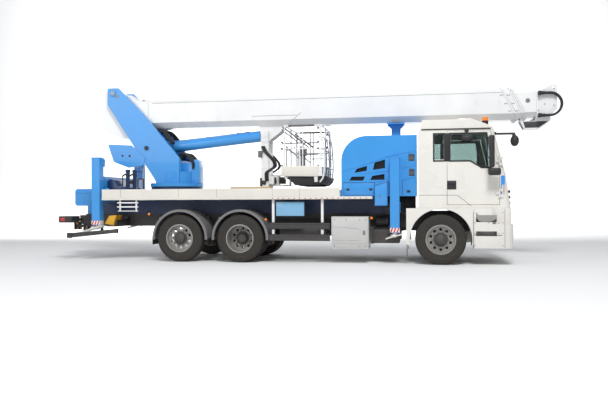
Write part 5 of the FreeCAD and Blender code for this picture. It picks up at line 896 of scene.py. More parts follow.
# The reflective strip: red and white film squares along the deck's lip on both sides.
# The squares have narrow gaps.
band_white = surface_material("band_white", (0.80, 0.80, 0.80), roughness=0.25, coat=0.4, dust=0.1,
                              edge_radius=0.001, wear=0.0)
band_red = surface_material("band_red", (0.60, 0.022, 0.018), roughness=0.25, coat=0.4, dust=0.1,
                            edge_radius=0.001, wear=0.0)
white_mesh = bmesh.new()
red_mesh = bmesh.new()
for sign in (1, -1):
    for number in range(36):
        x = -3.480 + 0.058 * number
        slab(white_mesh if number % 2 else red_mesh, at(x, sign * 1.2635, 1.356),
             at(x + 0.026, sign * 1.2652, 1.372))
finished("lip_film_white", white_mesh, band_white, "chassis")
finished("lip_film_red", red_mesh, band_red, "chassis")

# Loose gear on the deck: a timber plank that protects the paint, a folded white ladder
# hung under the lip, and yellow wheel chocks on a bracket by the rear leg.
timber = surface_material("timber", (0.58, 0.44, 0.25), roughness=0.7, dust=0.15, dust_height=2.0,
                          edge_radius=0.003, texture_depth=0.002, specular=0.3, wear=0.0)
plank_mesh = bmesh.new()
blocks(plank_mesh, 1, [
    (-4.430, -1.150, 1.552, -3.540, -0.900, 1.618, 0.006),
    (-4.330, -0.860, 1.552, -3.640, -0.640, 1.604, 0.006)])
finished("deck_planks", plank_mesh, timber, "chassis")
ladder_mesh = bmesh.new()
for x in (-6.940, -6.560):
    slab(ladder_mesh, at(x, -1.190, 1.090), at(x + 0.030, -1.225, 1.345), 0.004)
for z in (1.180, 1.270):
    slab(ladder_mesh, at(-6.990, -1.196, z), at(-6.500, -1.232, z + 0.028), 0.004)
slab(ladder_mesh, at(-6.980, -1.180, 1.095), at(-6.510, -1.215, 1.112), 0.003)
finished("folded_ladder", ladder_mesh, band_white, "chassis")
chock_yellow = surface_material("chock_yellow", (0.70, 0.36, 0.010), roughness=0.45, dust=0.3,
                                dust_height=1.4, edge_radius=0.006, wear=0.0)
chock_mesh = bmesh.new()
for near, far in ((-1.110, -0.960), (-0.930, -0.780)):
    plate(chock_mesh, [(-7.350, 0.820), (-7.130, 0.780), (-7.080, 1.010), (-7.240, 1.000)], near, far, 0.010)
finished("wheel_chocks", chock_mesh, chock_yellow, "chassis")
shelf_mesh = bmesh.new()
blocks(shelf_mesh, 1, [
    (-7.300, -1.130, 0.755, -7.060, -0.480, 0.782, 0.004),
    (-7.080, -1.130, 0.780, -7.055, -0.480, 0.900, 0.004),
    (-7.300, -0.520, 0.755, -7.060, -0.460, 0.980, 0.004)])
finished("chock_shelf", shelf_mesh, chassis_black, "chassis")

# The sign board: a blank light blue panel on the right side, on a thin frame.
# It carries nothing.
sign_blue = surface_material("sign_blue", (0.20, 0.44, 0.66), roughness=0.35, coat=0.3, dust=0.15,
                             dust_height=1.6, wear=0.0)
sign_mesh = bmesh.new()
slab(sign_mesh, at(-3.410, -1.168, 0.995), at(-2.810, -1.180, 1.288), 0.004)
finished("side_board", sign_mesh, sign_blue, "chassis")
sign_frame_mesh = bmesh.new()
slab(sign_frame_mesh, at(-3.420, -1.150, 0.985), at(-2.800, -1.169, 1.298), 0.003)
for x in (-3.300, -2.950):
    slab(sign_frame_mesh, at(x, -1.130, 1.250), at(x + 0.035, -1.155, 1.402), 0.003)
finished("side_board_frame", sign_frame_mesh, chassis_black, "chassis")

# Side marker lamps: small round amber lenses on dark bases. Each side has three along
# its length, and the first stands on a short bracket.
marker_mesh = bmesh.new()
base_mesh = bmesh.new()
for sign in (1, -1):
    for x, y, z in ((-6.250, 1.215, 1.035), (-3.630, 1.215, 0.920), (-1.400, 1.150, 0.950)):
        rod(base_mesh, at(x, sign * (y - 0.030), z), at(x, sign * y, z), 0.034, segments=20)
        rod(marker_mesh, at(x, sign * y, z), at(x, sign * (y + 0.014), z), 0.027, 0.020, segments=20)
    blocks(base_mesh, sign, [
        (-1.420, 1.080, 0.930, -1.380, 1.130, 0.965, 0.003),
        (-1.470, 1.090, 0.935, -1.380, 1.110, 0.960, 0.003)])
finished("side_markers", marker_mesh, beacon_amber, "chassis")
finished("side_marker_bases", base_mesh, dark_plastic, "chassis")

# The outriggers: welded boxes and square columns in the hood's blue. Each column has a
# folded cap, a red and white band, and a cream foot plate that hangs on a ball.
dress(bright_blue, "front_outrigger_box", "rear_outrigger_box", "front_beam_left", "front_beam_right",
      "rear_beam_left", "rear_beam_right")
rod_chrome = surface_material("rod_chrome", (0.60, 0.61, 0.62), metallic=1.0, roughness=0.16, dust=0.0,
                              texture_depth=0.00005, wear=0.0)
column_y, column_face, band_height, foot_tilt = 1.135, 1.230, 0.092, math.radians(-15.9)
for end, middle, column_top, band_low, foot_reach, foot_shift in (
        ("front", -0.920, 2.180, 0.656, 0.185, -0.012), ("rear", -7.500, 2.286, 0.797, 0.240, -0.080)):
    for side, sign in side_signs:
        beam, leg = "%s_beam_%s" % (end, side), "%s_leg_%s" % (end, side)
        cap_mesh = bmesh.new()
        slab(cap_mesh, at(middle - 0.103, sign * 1.034, column_top - 0.006),
             at(middle + 0.103, sign * (column_face + 0.008), column_top + 0.010), 0.004)
        for x in (middle - 0.100, middle + 0.093):
            slab(cap_mesh, at(x, sign * 1.045, column_top - 0.110),
                 at(x + 0.007, sign * (column_face - 0.010), column_top), 0.002)
        if end == "rear":
            slab(cap_mesh, at(middle - 0.085, sign * 0.935, column_top - 0.190),
                 at(middle + 0.085, sign * 1.042, column_top - 0.015), 0.010)
        finished(beam + "_cap", cap_mesh, bright_blue, beam)
        white_mesh = bmesh.new()
        red_mesh = bmesh.new()
        slab(white_mesh, at(middle - 0.098, sign * 1.042, band_low),
             at(middle + 0.098, sign * (column_face + 0.003), band_low + band_height), 0.002)
        for number in range(3):
            x = middle - 0.097 + 0.064 * number
            plate(red_mesh, [(x, band_low), (x + 0.030, band_low), (x + 0.064, band_low + band_height),
                             (x + 0.034, band_low + band_height)],
                  sign * column_face, sign * (column_face + 0.0045))
        finished(beam + "_band_white", white_mesh, band_white, beam)
        finished(beam + "_band_red", red_mesh, band_red, beam)
        low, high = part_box(leg)
        ball = at(middle, sign * column_y, low[2] + 0.080)
        ram_mesh = bmesh.new()
        rod(ram_mesh, ball, (ball[0], ball[1], high[2]), 0.055, segments=28)
        bmesh.ops.create_uvsphere(ram_mesh, u_segments=20, v_segments=12, radius=0.058,
                                  matrix=Matrix.Translation(ball))
        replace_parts(finished(leg + "_ram", ram_mesh, rod_chrome, leg), leg)
        foot_mesh = bmesh.new()
        slab(foot_mesh, (-foot_reach, -0.150, -0.014), (foot_reach, 0.150, 0.010), 0.006)
        rod(foot_mesh, (0, 0, 0.008), (0, 0, 0.050), 0.085, 0.068, segments=28)
        for turn in range(6):
            x, y = math.cos(math.radians(60 * turn)), math.sin(math.radians(60 * turn))
            rod(foot_mesh, (0.070 * x, 0.070 * y, 0.018), (0.130 * x, 0.130 * y, 0.010), 0.010, 0.006,
                segments=8)
        bmesh.ops.transform(foot_mesh, verts=foot_mesh.verts,
                            matrix=Matrix.Translation((ball[0] + foot_shift, ball[1], ball[2] - 0.024))
                            @ Matrix.Rotation(foot_tilt, 4, "Y"))
        finished(leg + "_foot", foot_mesh, deck_cream, leg)
gusset_mesh = bmesh.new()
for sign in (1, -1):
    for edge, tip in ((-7.606, -7.700), (-7.394, -7.290)):
        plate(gusset_mesh, [(edge, 1.615), (tip, 1.615), (tip, 1.550), (edge, 1.280)],
              sign * 0.992, sign * 1.018, 0.003)
finished("outrigger_gussets", gusset_mesh, bright_blue, "chassis")

# The rear cabinet: its lid has a shut line and locks. Two blue gas cylinders and a cover
# stand on the rear deck between the columns, with dark valves and hoses.
cabinet_mesh = bmesh.new()
cylinder_mesh = bmesh.new()
lock_mesh = bmesh.new()
for sign in (1, -1):
    strip(cabinet_mesh, ((-8.440, 1.520), (-8.010, 1.520)), 0.006, sign * 0.379, sign * 0.381)
    rod(lock_mesh, at(-8.240, sign * 0.379, 1.450), at(-8.240, sign * 0.392, 1.450), 0.016)
    blocks(lock_mesh, sign, [
        (-8.040, 0.379, 1.500, -8.010, 0.388, 1.545, 0.003),
        (-8.450, 0.300, 1.330, -8.478, 0.180, 1.360, 0.006)])
finished("cabinet_seams", cabinet_mesh, seal_rubber, "chassis")
finished("cabinet_locks", lock_mesh, nut_steel, "chassis")
cylinder_places = ((-7.010, -0.640), (-6.880, -0.560))
for x, y in cylinder_places:
    bars(cylinder_mesh, 1, [
        (x, y, 1.543, x, y, 2.020, 0.046),
        (x, y, 1.985, x, y, 2.045, 0.056)], segments=20)
plate(cylinder_mesh, [(-7.390, 1.545), (-7.390, 1.760), (-7.330, 1.830), (-7.200, 1.800), (-7.140, 1.670),
                  (-6.930, 1.640), (-6.930, 1.545)], -0.900, -0.280, 0.020)
finished("deck_cylinders", cylinder_mesh, navy_paint, "chassis")
fitting_mesh = bmesh.new()
for x, y in cylinder_places:
    rod(fitting_mesh, at(x, y, 1.900), at(x, y, 1.930), 0.052, segments=20)
    rod(fitting_mesh, at(x - 0.055, y, 1.950), at(x - 0.130, y, 1.900), 0.018, segments=12)
    rod(fitting_mesh, at(x - 0.130, y, 1.905), at(x - 0.130, y, 1.545), 0.012, segments=10)
slab(fitting_mesh, at(-6.980, -0.660, 1.720), at(-6.900, -0.590, 1.800), 0.006)
finished("deck_cylinder_fittings", fitting_mesh, dark_plastic, "chassis")

# The turret: thick plates welded round a drum, in the hood's blue. A ring of bolts holds
# the flange, and bundles of hose run from the drum up between the arms.
dress(bright_blue, "turret")
slew_x, arm_face, flange_top = -6.060, 0.455, 1.725
bolt_mesh = bmesh.new()
bolt_count, bolt_ring = 44, 0.594
for number in range(bolt_count):
    turn = math.radians(360) * number / bolt_count
    x, y = slew_x + bolt_ring * math.cos(turn), bolt_ring * math.sin(turn)
    rod(bolt_mesh, at(x, y, flange_top - 0.001), at(x, y, flange_top + 0.004), 0.020, segments=16)
    rod(bolt_mesh, at(x, y, flange_top), at(x, y, flange_top + 0.018), 0.0135, segments=6)
finished("flange_bolts", bolt_mesh, bright_blue, "turret")
cap_mesh = bmesh.new()
dark_mesh = bmesh.new()
for sign in (1, -1):
    face = sign * (arm_face + 0.022)
    rod(cap_mesh, at(-7.460, face - sign * 0.002, 3.840), at(-7.460, face + sign * 0.010, 3.840), 0.046,
        segments=28)
    slab(cap_mesh, at(-7.400, sign * arm_face, 3.750), at(-7.330, sign * (arm_face + 0.014), 3.800), 0.003)
    rod(dark_mesh, at(-6.630, face - sign * 0.002, 2.550), at(-6.630, face + sign * 0.006, 2.550), 0.050,
        segments=28)
    rod(dark_mesh, at(-5.960, sign * 0.366, 1.890), at(-5.960, sign * 0.374, 1.890), 0.0595, segments=28)
for x, z in ((-7.220, 2.380), (-7.044, 2.373)):
    rod(dark_mesh, at(x, -0.453, z), at(x, -0.4765, z), 0.026, segments=20)
finished("pin_caps", cap_mesh, nut_steel, "turret")
finished("turret_dark_ends", dark_mesh, dark_plastic, "turret")
post_mesh = bmesh.new()
plate(post_mesh, [(-5.870, 1.723), (-5.470, 1.723), (-5.470, 2.120), (-5.505, 2.290), (-5.560, 2.290),
                  (-5.680, 2.210), (-5.870, 2.210)], -0.190, 0.190, 0.012)
for y in (-0.385, 0.385):
    strip(post_mesh, ((-5.840, 1.740), (-5.842, 2.300)), 0.020, y - 0.015, y + 0.015)
finished("turret_front_post", post_mesh, bright_blue, "turret")


def pipe(mesh, points, radius, segments=10, steps=5):
    """A hose or pipe through points, bent smoothly between them, with round ends."""
    points = [Vector(point) for point in points]
    ends = [points[0] * 2 - points[1]] + points + [points[-1] * 2 - points[-2]]
    line = []
    for p0, p1, p2, p3 in zip(ends, ends[1:], ends[2:], ends[3:]):
        for step in range(steps):
            t = step / steps
            line.append(0.5 * (2 * p1 + (p2 - p0) * t + (2 * p0 - 5 * p1 + 4 * p2 - p3) * t * t
                               + (3 * p1 - p0 - 3 * p2 + p3) * t ** 3))
    line.append(points[-1])
    rings = []
    side = Vector((0, 1, 0))
    for number, place in enumerate(line):
        ahead = line[min(number + 1, len(line) - 1)] - line[max(number - 1, 0)]
        ahead.normalize()
        side = (side - ahead * side.dot(ahead)).normalized()
        other = ahead.cross(side)
        rings.append([mesh.verts.new(place + radius * (side * math.cos(math.radians(360) * k / segments)
                                                       + other * math.sin(math.radians(360) * k / segments)))
                      for k in range(segments)])
    for first, second in zip(rings, rings[1:]):
        for k in range(segments):
            mesh.faces.new((first[k], first[(k + 1) % segments], second[(k + 1) % segments], second[k]))
    mesh.faces.new(list(reversed(rings[0])))
    mesh.faces.new(rings[-1])


hose_rubber = surface_material("hose_rubber", (0.016, 0.016, 0.017), roughness=0.55, dust=0.0,
                               edge_radius=0.003, texture_depth=0.0012, wear=0.0)
bundle_mesh = bmesh.new()
for sign in (1, -1):
    for number, y in enumerate((0.175, 0.210, 0.245, 0.280, 0.315)):
        lift = 0.022 * (number % 2)
        pipe(bundle_mesh, [at(x + lift, sign * y, z + lift) for x, z in
                           ((-6.540, 2.960), (-6.420, 2.985), (-6.290, 2.930), (-6.170, 2.800),
                            (-6.070, 2.660))], 0.019)
    for number, y in enumerate((0.060, 0.100, 0.140, 0.210, 0.250)):
        lift = 0.018 * (number % 2)
        pipe(bundle_mesh, [at(x + lift, sign * y, z + lift) for x, z in
                           ((-6.000, 2.300), (-5.900, 2.420), (-5.770, 2.400), (-5.660, 2.290),
                            (-5.590, 2.180), (-5.600, 2.060))], 0.018)
finished("turret_hoses", bundle_mesh, hose_rubber, "turret")
valve_mesh = bmesh.new()
slab(valve_mesh, at(-6.300, -0.260, 2.258), at(-5.980, 0.260, 2.350), 0.008)
for number in range(6):
    rod(valve_mesh, at(-6.265, -0.220 + 0.088 * number, 2.348), at(-6.265, -0.220 + 0.088 * number, 2.390),
        0.020)
finished("turret_valves", valve_mesh, drive_and_shade_grey, "turret")

# The lift cylinder: a blue barrel with a screwed gland, a dark wiper ring and a clamped
# pipe, and a chromed rod. Places on it run along its middle line from the foot pin.
dress(bright_blue, "lift_barrel")
dress(rod_chrome, "lift_rod")
lift_foot, lift_way = Vector((-6.630, 0, 2.550)), Vector((0.99497, 0, 0.10021))
lift_up = Vector((-lift_way.z, 0, lift_way.x))


def on_lift(along, y=0.0, out=0.0):
    """A place along the lift cylinder from its foot pin, and out from its middle line."""
    place = lift_foot + lift_way * along + lift_up * out
    return at(place.x, y, place.z)


gland_mesh = bmesh.new()
rod(gland_mesh, on_lift(2.380), on_lift(2.636), 0.1290, segments=40)
rod(gland_mesh, on_lift(0.150), on_lift(0.190), 0.1300, segments=40)
finished("lift_gland", gland_mesh, bright_blue, "lift_barrel")
wiper_ring_mesh = bmesh.new()
rod(wiper_ring_mesh, on_lift(2.634), on_lift(2.658), 0.1240, segments=40)
finished("lift_wiper_ring", wiper_ring_mesh, dark_plastic, "lift_barrel")
pipe_mesh = bmesh.new()
pipe(pipe_mesh, [on_lift(0.300, 0.060, 0.150), on_lift(1.200, 0.060, 0.140), on_lift(2.300, 0.060, 0.140)],
     0.011)
for along in (0.500, 1.300, 2.050):
    slab(pipe_mesh, on_lift(along, 0.035, 0.105), on_lift(along + 0.030, 0.085, 0.160), 0.003)
slab(pipe_mesh, on_lift(2.260, 0.020, 0.105), on_lift(2.360, 0.100, 0.150), 0.006)
slab(pipe_mesh, on_lift(0.240, 0.010, 0.100), on_lift(0.340, 0.110, 0.165), 0.006)
finished("lift_pipe", pipe_mesh, bright_blue, "lift_barrel")

# The boom: folded high-strength sheet, sprayed white and lacquered. Each slanted collar
# has dark wiper strips, adjusters and lugs, and a seam runs along the first section.
boom_white = surface_material("boom_white", (0.82, 0.825, 0.83), roughness=0.30, coat=0.45, dust=0.0,
                              edge_radius=0.012)
dress(boom_white, "boom_base", "boom_section_2", "boom_section_3", "boom_head")
collar_bodies = ("boom_base", "boom_section_2", "boom_section_3")
boom_top, boom_chine, boom_low, boom_half = 3.680, 3.150, 3.030, 0.310
for number, (body, mouth) in enumerate(zip(collar_bodies, (1.490, 1.640, 1.690))):
    inset = 0.018 * number
    lug_mesh = bmesh.new()
    dark_mesh = bmesh.new()
    for sign in (1, -1):
        y = sign * (boom_half - inset)
        for z in (3.540, 3.360, 3.200):
            lean = (boom_top - z) / (boom_top - boom_low) * 0.330 - 0.165
            for back in (0.080, 0.115):
                rod(dark_mesh, at(mouth + lean - back, y - sign * 0.002, z),
                    at(mouth + lean - back, y + sign * 0.009, z), 0.011, segments=12)
        for offset in (0.120, 0.200):
            slab(lug_mesh, at(mouth - 0.215, sign * (offset - 0.006), boom_top - inset - 0.010),
                 at(mouth - 0.165, sign * (offset + 0.006), boom_top - inset + 0.062), 0.004)
        rod(lug_mesh, at(mouth - 0.190, sign * 0.110, boom_top - inset + 0.036),
            at(mouth - 0.190, sign * 0.212, boom_top - inset + 0.036), 0.014, segments=14)
        slab(lug_mesh, at(mouth + 0.070, sign * 0.060, boom_low + inset - 0.046),
             at(mouth + 0.130, sign * 0.150, boom_low + inset + 0.004), 0.005)
    slab(lug_mesh, at(mouth + 0.055, -0.165, boom_low + inset - 0.030),
         at(mouth + 0.150, 0.165, boom_low + inset - 0.012), 0.004)
    wiper_mesh = bmesh.new()
    for sign in (1, -1):
        y = sign * (boom_half - inset)
        strip(wiper_mesh, ((mouth - 0.150, boom_top - 0.035), (mouth + 0.100, boom_chine + 0.010)), 0.012,
              y - sign * 0.024, y - sign * 0.003)
    finished(body + "_wipers", wiper_mesh, seal_rubber, body)
    finished(body + "_lugs", lug_mesh, boom_white, body)
    finished(body + "_adjusters", dark_mesh, nut_steel, body)
seam_mesh = bmesh.new()
for sign in (1, -1):
    y = sign * boom_half
    strip(seam_mesh, ((-6.550, 3.602), (1.320, 3.602)), 0.012, y - sign * 0.001, y + sign * 0.003)
    slab(seam_mesh, at(-4.140, sign * 0.322, 3.232), at(-3.110, sign * 0.328, 3.244), 0.002)
finished("boom_seams", seam_mesh, louvre_grey, "boom_base")
dark_mesh = bmesh.new()
for x, size in ((-6.860, 0.030), (-6.740, 0.020)):
    slab(dark_mesh, at(x, -0.200, boom_top - 0.004), at(x + 2.4 * size, -0.120, boom_top + size), 0.006)
slab(dark_mesh, at(-6.600, 0.120, boom_top - 0.004), at(-6.300, 0.200, boom_top + 0.050), 0.006)
finished("boom_top_parts", dark_mesh, drive_and_shade_grey, "boom_base")

# The boom head: white plates with black hose loops, clamps and fittings. Dark grey plates
# on the nose's lower sides are painted shade of its underside, with a dark sheave drum across between them.
dress(hose_rubber, "head_hoses")
fitting_mesh = bmesh.new()
for y in (0.302, 0.356):
    for z in (3.560, 3.090):
        rod(fitting_mesh, at(2.062, -y, z), at(2.115, -y, z), 0.036, segments=20)
        for x in (2.132, 2.160):
            rod(fitting_mesh, at(x, -y, z), at(x + 0.016, -y, z), 0.0335, segments=6)
blocks(fitting_mesh, 1, [
    (2.040, -0.272, 3.520, 2.090, -0.400, 3.600, 0.006),
    (2.040, -0.272, 3.050, 2.090, -0.400, 3.130, 0.006)])
finished("head_fittings", fitting_mesh, dark_plastic, "boom_head")
pivot_x, pivot_z = 1.845, 3.420
plug_mesh = bmesh.new()
for sign in (1, -1):
    rod(plug_mesh, at(pivot_x, sign * 0.252, pivot_z), at(pivot_x, sign * 0.266, pivot_z), 0.046, segments=28)
    rod(plug_mesh, at(pivot_x, sign * 0.262, pivot_z), at(pivot_x, sign * 0.274, pivot_z), 0.026, segments=6)
    for x, z in ((2.060, 3.200), (2.060, 3.500), (2.370, 3.650), (2.370, 3.300), (2.180, 3.330)):
        rod(plug_mesh, at(x, sign * 0.271, z), at(x, sign * 0.280, z), 0.014, segments=6)
finished("head_bolts", plug_mesh, nut_steel, "boom_head")
# Painted shade: dark grey plates on the nose's lower sides stand in for the shade under the head; the drum is
# a real part.
nose_painted_shade_mesh = bmesh.new()
for sign in (1, -1):
    plate(nose_painted_shade_mesh, [(1.760, 2.985), (1.800, 2.850), (2.080, 2.850), (2.270, 2.985)],
          sign * 0.167, sign * 0.171, 0.001)
    slab(nose_painted_shade_mesh, at(1.850, sign * 0.168, 2.900), at(1.930, sign * 0.176, 2.960), 0.004)
rod(nose_painted_shade_mesh, at(1.960, -0.110, 2.950), at(1.960, 0.110, 2.950), 0.085, segments=36)
finished("nose_painted_shade", nose_painted_shade_mesh, drive_and_shade_grey, "boom_head")

# The toolboxes: folded aluminium sheet with a light grey coat. Each lid has a pressed
# crease, ribs along its foot, rivets at the corners and a flush lock.
box_grey = surface_material("box_grey", (0.60, 0.60, 0.585), metallic=0.2, roughness=0.42, dust=0.22,
                            dust_height=1.2)
dress(box_grey, "toolboxes")
box_side = 1.190
lid_mesh = bmesh.new()
stud_mesh = bmesh.new()
for sign in (1, -1):
    near, far = sign * (box_side - 0.001), sign * (box_side + 0.006)
    plate(lid_mesh, [(-2.205, 0.335), (-1.485, 0.335), (-1.485, 0.955), (-2.205, 0.955)], near, far, 0.004)
    strip(lid_mesh, ((-2.190, 0.775), (-1.900, 0.762), (-1.660, 0.735)), 0.018, far - sign * 0.001,
          sign * (box_side + 0.014))
    strip(lid_mesh, ((-2.190, 0.500), (-1.640, 0.500)), 0.016, far - sign * 0.001, sign * (box_side + 0.014))
    strip(lid_mesh, ((-2.190, 0.430), (-1.500, 0.430)), 0.012, far - sign * 0.001, sign * (box_side + 0.012))
    for x, z in ((-2.170, 0.915), (-1.920, 0.915), (-1.640, 0.915), (-2.170, 0.370), (-1.640, 0.370),
                 (-1.520, 0.915), (-1.520, 0.370)):
        rod(stud_mesh, at(x, far - sign * 0.002, z), at(x, sign * (box_side + 0.010), z), 0.012, segments=12)
    slab(stud_mesh, at(-1.575, far - sign * 0.001, 0.600), at(-1.525, sign * (box_side + 0.012), 0.690),
         0.004)
finished("toolbox_lids", lid_mesh, box_grey, "chassis")
finished("toolbox_studs", stud_mesh, nut_steel, "chassis")

# The mudguards: grey moulded plastic over each rear wheel, with a flat band round the
# outer edge of the arch. A black rubber flap closes each foot.
mudguard_grey = surface_material("mudguard_grey", (0.185, 0.185, 0.190), roughness=0.6, dust=0.25,
                                 dust_height=1.5, texture_depth=0.001, wear=0.0)
dress(mudguard_grey, "mudguards")
edge_mesh = bmesh.new()
foot_mesh = bmesh.new()
guard_radius, guard_lip, guard_foot, clip_turn, edge_steps = 0.622, 0.572, 0.480, 0.80, 30
for word in ("drive_wheel", "trailing_wheel"):
    for side, sign in side_signs:
        middle_x, middle_z = wheel_centres[word, side][0], wheel_centres[word, side][2]
        ends = math.acos((guard_foot - middle_z) / guard_radius)
        for number in range(edge_steps):
            first, second = [ends * (2 * (number + step) / edge_steps - 1) for step in (0, 1)]
            plate(edge_mesh, [(middle_x - front_axle + radius * math.sin(turn),
                               middle_z + radius * math.cos(turn))
                              for radius, turn in ((guard_lip, first), (guard_radius, first),
                                                   (guard_radius, second), (guard_lip, second))],
                  sign * 1.204, sign * 1.219)
        for end in (-1, 1):
            x = middle_x + end * guard_radius * math.sin(ends)
            slab(foot_mesh, (x - 0.005, sign * 0.620, guard_foot - 0.110),
                 (x + 0.005, sign * 1.205, guard_foot + 0.030), 0.002)
            turn = end * clip_turn
            x, z = middle_x + guard_radius * math.sin(turn), middle_z + guard_radius * math.cos(turn)
            slab(edge_mesh, (x - 0.020, sign * 1.180, z - 0.020), (x + 0.020, sign * 1.216, z + 0.020), 0.006)
finished("mudguard_edges", edge_mesh, mudguard_grey, "chassis", 50)
finished("mudguard_feet", foot_mesh, seal_rubber, "chassis")

# The side guards: pressed planks in dark grey on posts. The posts have white sleeves
# above and between the planks.
guard_black = surface_material("guard_black", (0.035, 0.035, 0.038), roughness=0.5, dust=0.3,
                               dust_height=1.3)
dress(guard_black, "side_guards")
sleeve_mesh = bmesh.new()
fold_mesh = bmesh.new()
for sign in (1, -1):
    for x in (-3.500, -2.450):
        for bottom, top in ((0.610, 0.712), (0.858, 1.396)):
            slab(sleeve_mesh, at(x - 0.002, sign * 1.128, bottom), at(x + 0.052, sign * 1.182, top), 0.004)
    for base in (0.470, 0.720):
        for height in (0.022, 0.108):
            slab(fold_mesh, at(-3.555, sign * 1.200, base + height - 0.012),
                 at(-2.265, sign * 1.211, base + height + 0.012), 0.005)
finished("guard_sleeves", sleeve_mesh, band_white, "chassis")
finished("guard_folds", fold_mesh, guard_black, "chassis")

# The rear: tail lamps with red, amber and clear windows in dark housings, rubber ends on
# the under-run bar, a blank plate and a black and yellow board beside the tow jaw.
tail_red = surface_material("tail_red", (0.52, 0.010, 0.010), roughness=0.15, coat=0.8, dust=0.2,
                            dust_height=1.3, edge_radius=0.003, wear=0.0)
housing_mesh = bmesh.new()
window_mesh = bmesh.new()
amber_mesh = bmesh.new()
clear_mesh = bmesh.new()
lamp_back = -8.450
for sign in (1, -1):
    slab(housing_mesh, at(lamp_back - 0.002, sign * 0.772, 0.842), at(-8.132, sign * 1.128, 0.988), 0.012)
    for kind, low, high in ((window_mesh, 0.780, 0.890), (clear_mesh, 0.895, 0.950),
                            (amber_mesh, 0.955, 1.030), (window_mesh, 1.035, 1.120)):
        slab(kind, at(lamp_back - 0.008, sign * low, 0.858), at(lamp_back + 0.010, sign * high, 0.972), 0.004)
    slab(window_mesh, at(-8.420, sign * 1.126, 0.880), at(-8.300, sign * 1.134, 0.950), 0.004)
    slab(housing_mesh, at(-8.242, sign * 1.128, 0.500), at(-8.116, sign * 1.162, 0.620), 0.014)
slab(housing_mesh, at(-8.236, -0.270, 0.630), at(-8.228, 0.270, 0.755), 0.004)
finished("tail_housings", housing_mesh, dark_plastic, "chassis")
finished("tail_red_lamps", window_mesh, tail_red, "chassis")
finished("tail_amber_lamps", amber_mesh, beacon_amber, "chassis")
finished("tail_clear_lamps", clear_mesh, lamp_clear, "chassis")
plate_mesh = bmesh.new()
slab(plate_mesh, at(-8.240, -0.260, 0.640), at(-8.234, 0.260, 0.745), 0.002)
finished("rear_plate", plate_mesh, plate_white, "chassis")
jaw_mesh = bmesh.new()
stripe_mesh = bmesh.new()
for number in range(4):
    slab(stripe_mesh if number % 2 else jaw_mesh, at(-8.400, -0.560 + 0.090 * number, 0.660),
         at(-8.386, -0.472 + 0.090 * number, 0.840), 0.002)
slab(jaw_mesh, at(-8.392, -0.520, 0.720), at(-8.150, -0.500, 0.780), 0.003)
finished("rear_board_black", jaw_mesh, dark_plastic, "chassis")
finished("rear_board_yellow", stripe_mesh, chock_yellow, "chassis")

# The basket fork and its drive: a white post with grey brackets, a black slewing motor at
# its foot and hoses that hang down it from the boom's bracket.
basket_white = surface_material("basket_white", (0.80, 0.80, 0.79), roughness=0.40, coat=0.2, dust=0.0,
                                edge_radius=0.004, texture_depth=0.0008)
dress(basket_white, "basket_fork")
tube_grey = surface_material("tube_grey", (0.16, 0.16, 0.165), metallic=0.6, roughness=0.45, dust=0.0,
                             edge_radius=0.002, wear=0.0)
fork_x, turn_x, hose_y = -3.850, -3.680, 0.260
motor_mesh = bmesh.new()
blocks(motor_mesh, 1, [
    (-4.010, -0.110, 1.660, -3.965, 0.110, 1.820, 0.008),
    (-3.968, -0.060, 1.700, -3.880, 0.060, 1.780, 0.010),
    (-3.990, -0.270, 1.650, -3.945, -0.240, 1.840, 0.006),
    (-3.950, -0.268, 1.690, -3.850, -0.240, 1.780, 0.006),
    (-3.598, -0.058, 1.716, -3.450, 0.058, 1.854, 0.006)])
for x in (-3.578, -3.528, -3.478):
    slab(motor_mesh, at(x, -0.078, 1.706), at(x + 0.028, 0.078, 1.864), 0.004)
for z in (1.700, 1.780):
    rod(motor_mesh, at(-3.990, -0.140, z), at(-3.990, 0.140, z), 0.018)
for sign in (1, -1):
    rod(motor_mesh, at(turn_x, sign * 0.104, 1.760), at(turn_x, sign * 0.128, 1.760), 0.052, segments=28)
    for z in (1.718, 1.830):
        slab(motor_mesh, at(turn_x - 0.090, sign * 0.100, z - 0.018),
             at(turn_x + 0.040, sign * 0.122, z + 0.018), 0.005)
finished("basket_motor", motor_mesh, dark_plastic, "basket_fork")
plate_mesh = bmesh.new()
for sign in (1, -1):
    y = sign * 0.242
    slab(plate_mesh, at(fork_x - 0.100, y - sign * 0.002, 2.640), at(fork_x + 0.060, y + sign * 0.012, 2.880),
         0.004)
    rod(plate_mesh, at(fork_x, y, 2.830), at(fork_x, y + sign * 0.026, 2.830), 0.060, segments=28)
    for z in (1.720, 2.050, 2.380):
        slab(plate_mesh, at(fork_x - 0.121, sign * 0.185, z), at(fork_x + 0.062, y + sign * 0.006, z + 0.014),
             0.002)
    slab(plate_mesh, at(fork_x - 0.060, sign * 0.150, 1.700), at(fork_x + 0.150, sign * 0.186, 1.880), 0.004)
finished("fork_plates", plate_mesh, basket_white, "basket_fork")
bracket_mesh = bmesh.new()
for y in (-hose_y, hose_y):
    blocks(bracket_mesh, 1, [
        (-4.020, y - 0.012, 2.420, -3.800, y + 0.012, 2.450, 0.004),
        (-4.030, y - 0.020, 2.300, -3.930, y + 0.020, 2.460, 0.006)])
    rod(bracket_mesh, at(-3.990, y * 0.78, 2.385), at(-3.990, y * 1.02, 2.385), 0.022)
finished("hose_bracket", bracket_mesh, tube_grey, "basket_fork")
hose_mesh = bmesh.new()
for y, lift in ((-hose_y, -0.030), (-hose_y, 0.0), (-hose_y, 0.030), (hose_y, -0.016), (hose_y, 0.016)):
    pipe(hose_mesh, [at(x + lift, y * tuck, z) for x, z, tuck in
                     ((-3.920, 2.560, 1.0), (-3.850, 2.430, 1.0), (-3.740, 2.310, 1.0), (-3.650, 2.190, 0.92),
                      (-3.650, 2.090, 0.90), (-3.745, 2.020, 0.95), (-3.825, 1.960, 1.0),
                      (-3.830, 1.860, 1.0), (-3.820, 1.770, 1.0))], 0.016)
finished("fork_hoses", hose_mesh, hose_rubber, "basket_fork")

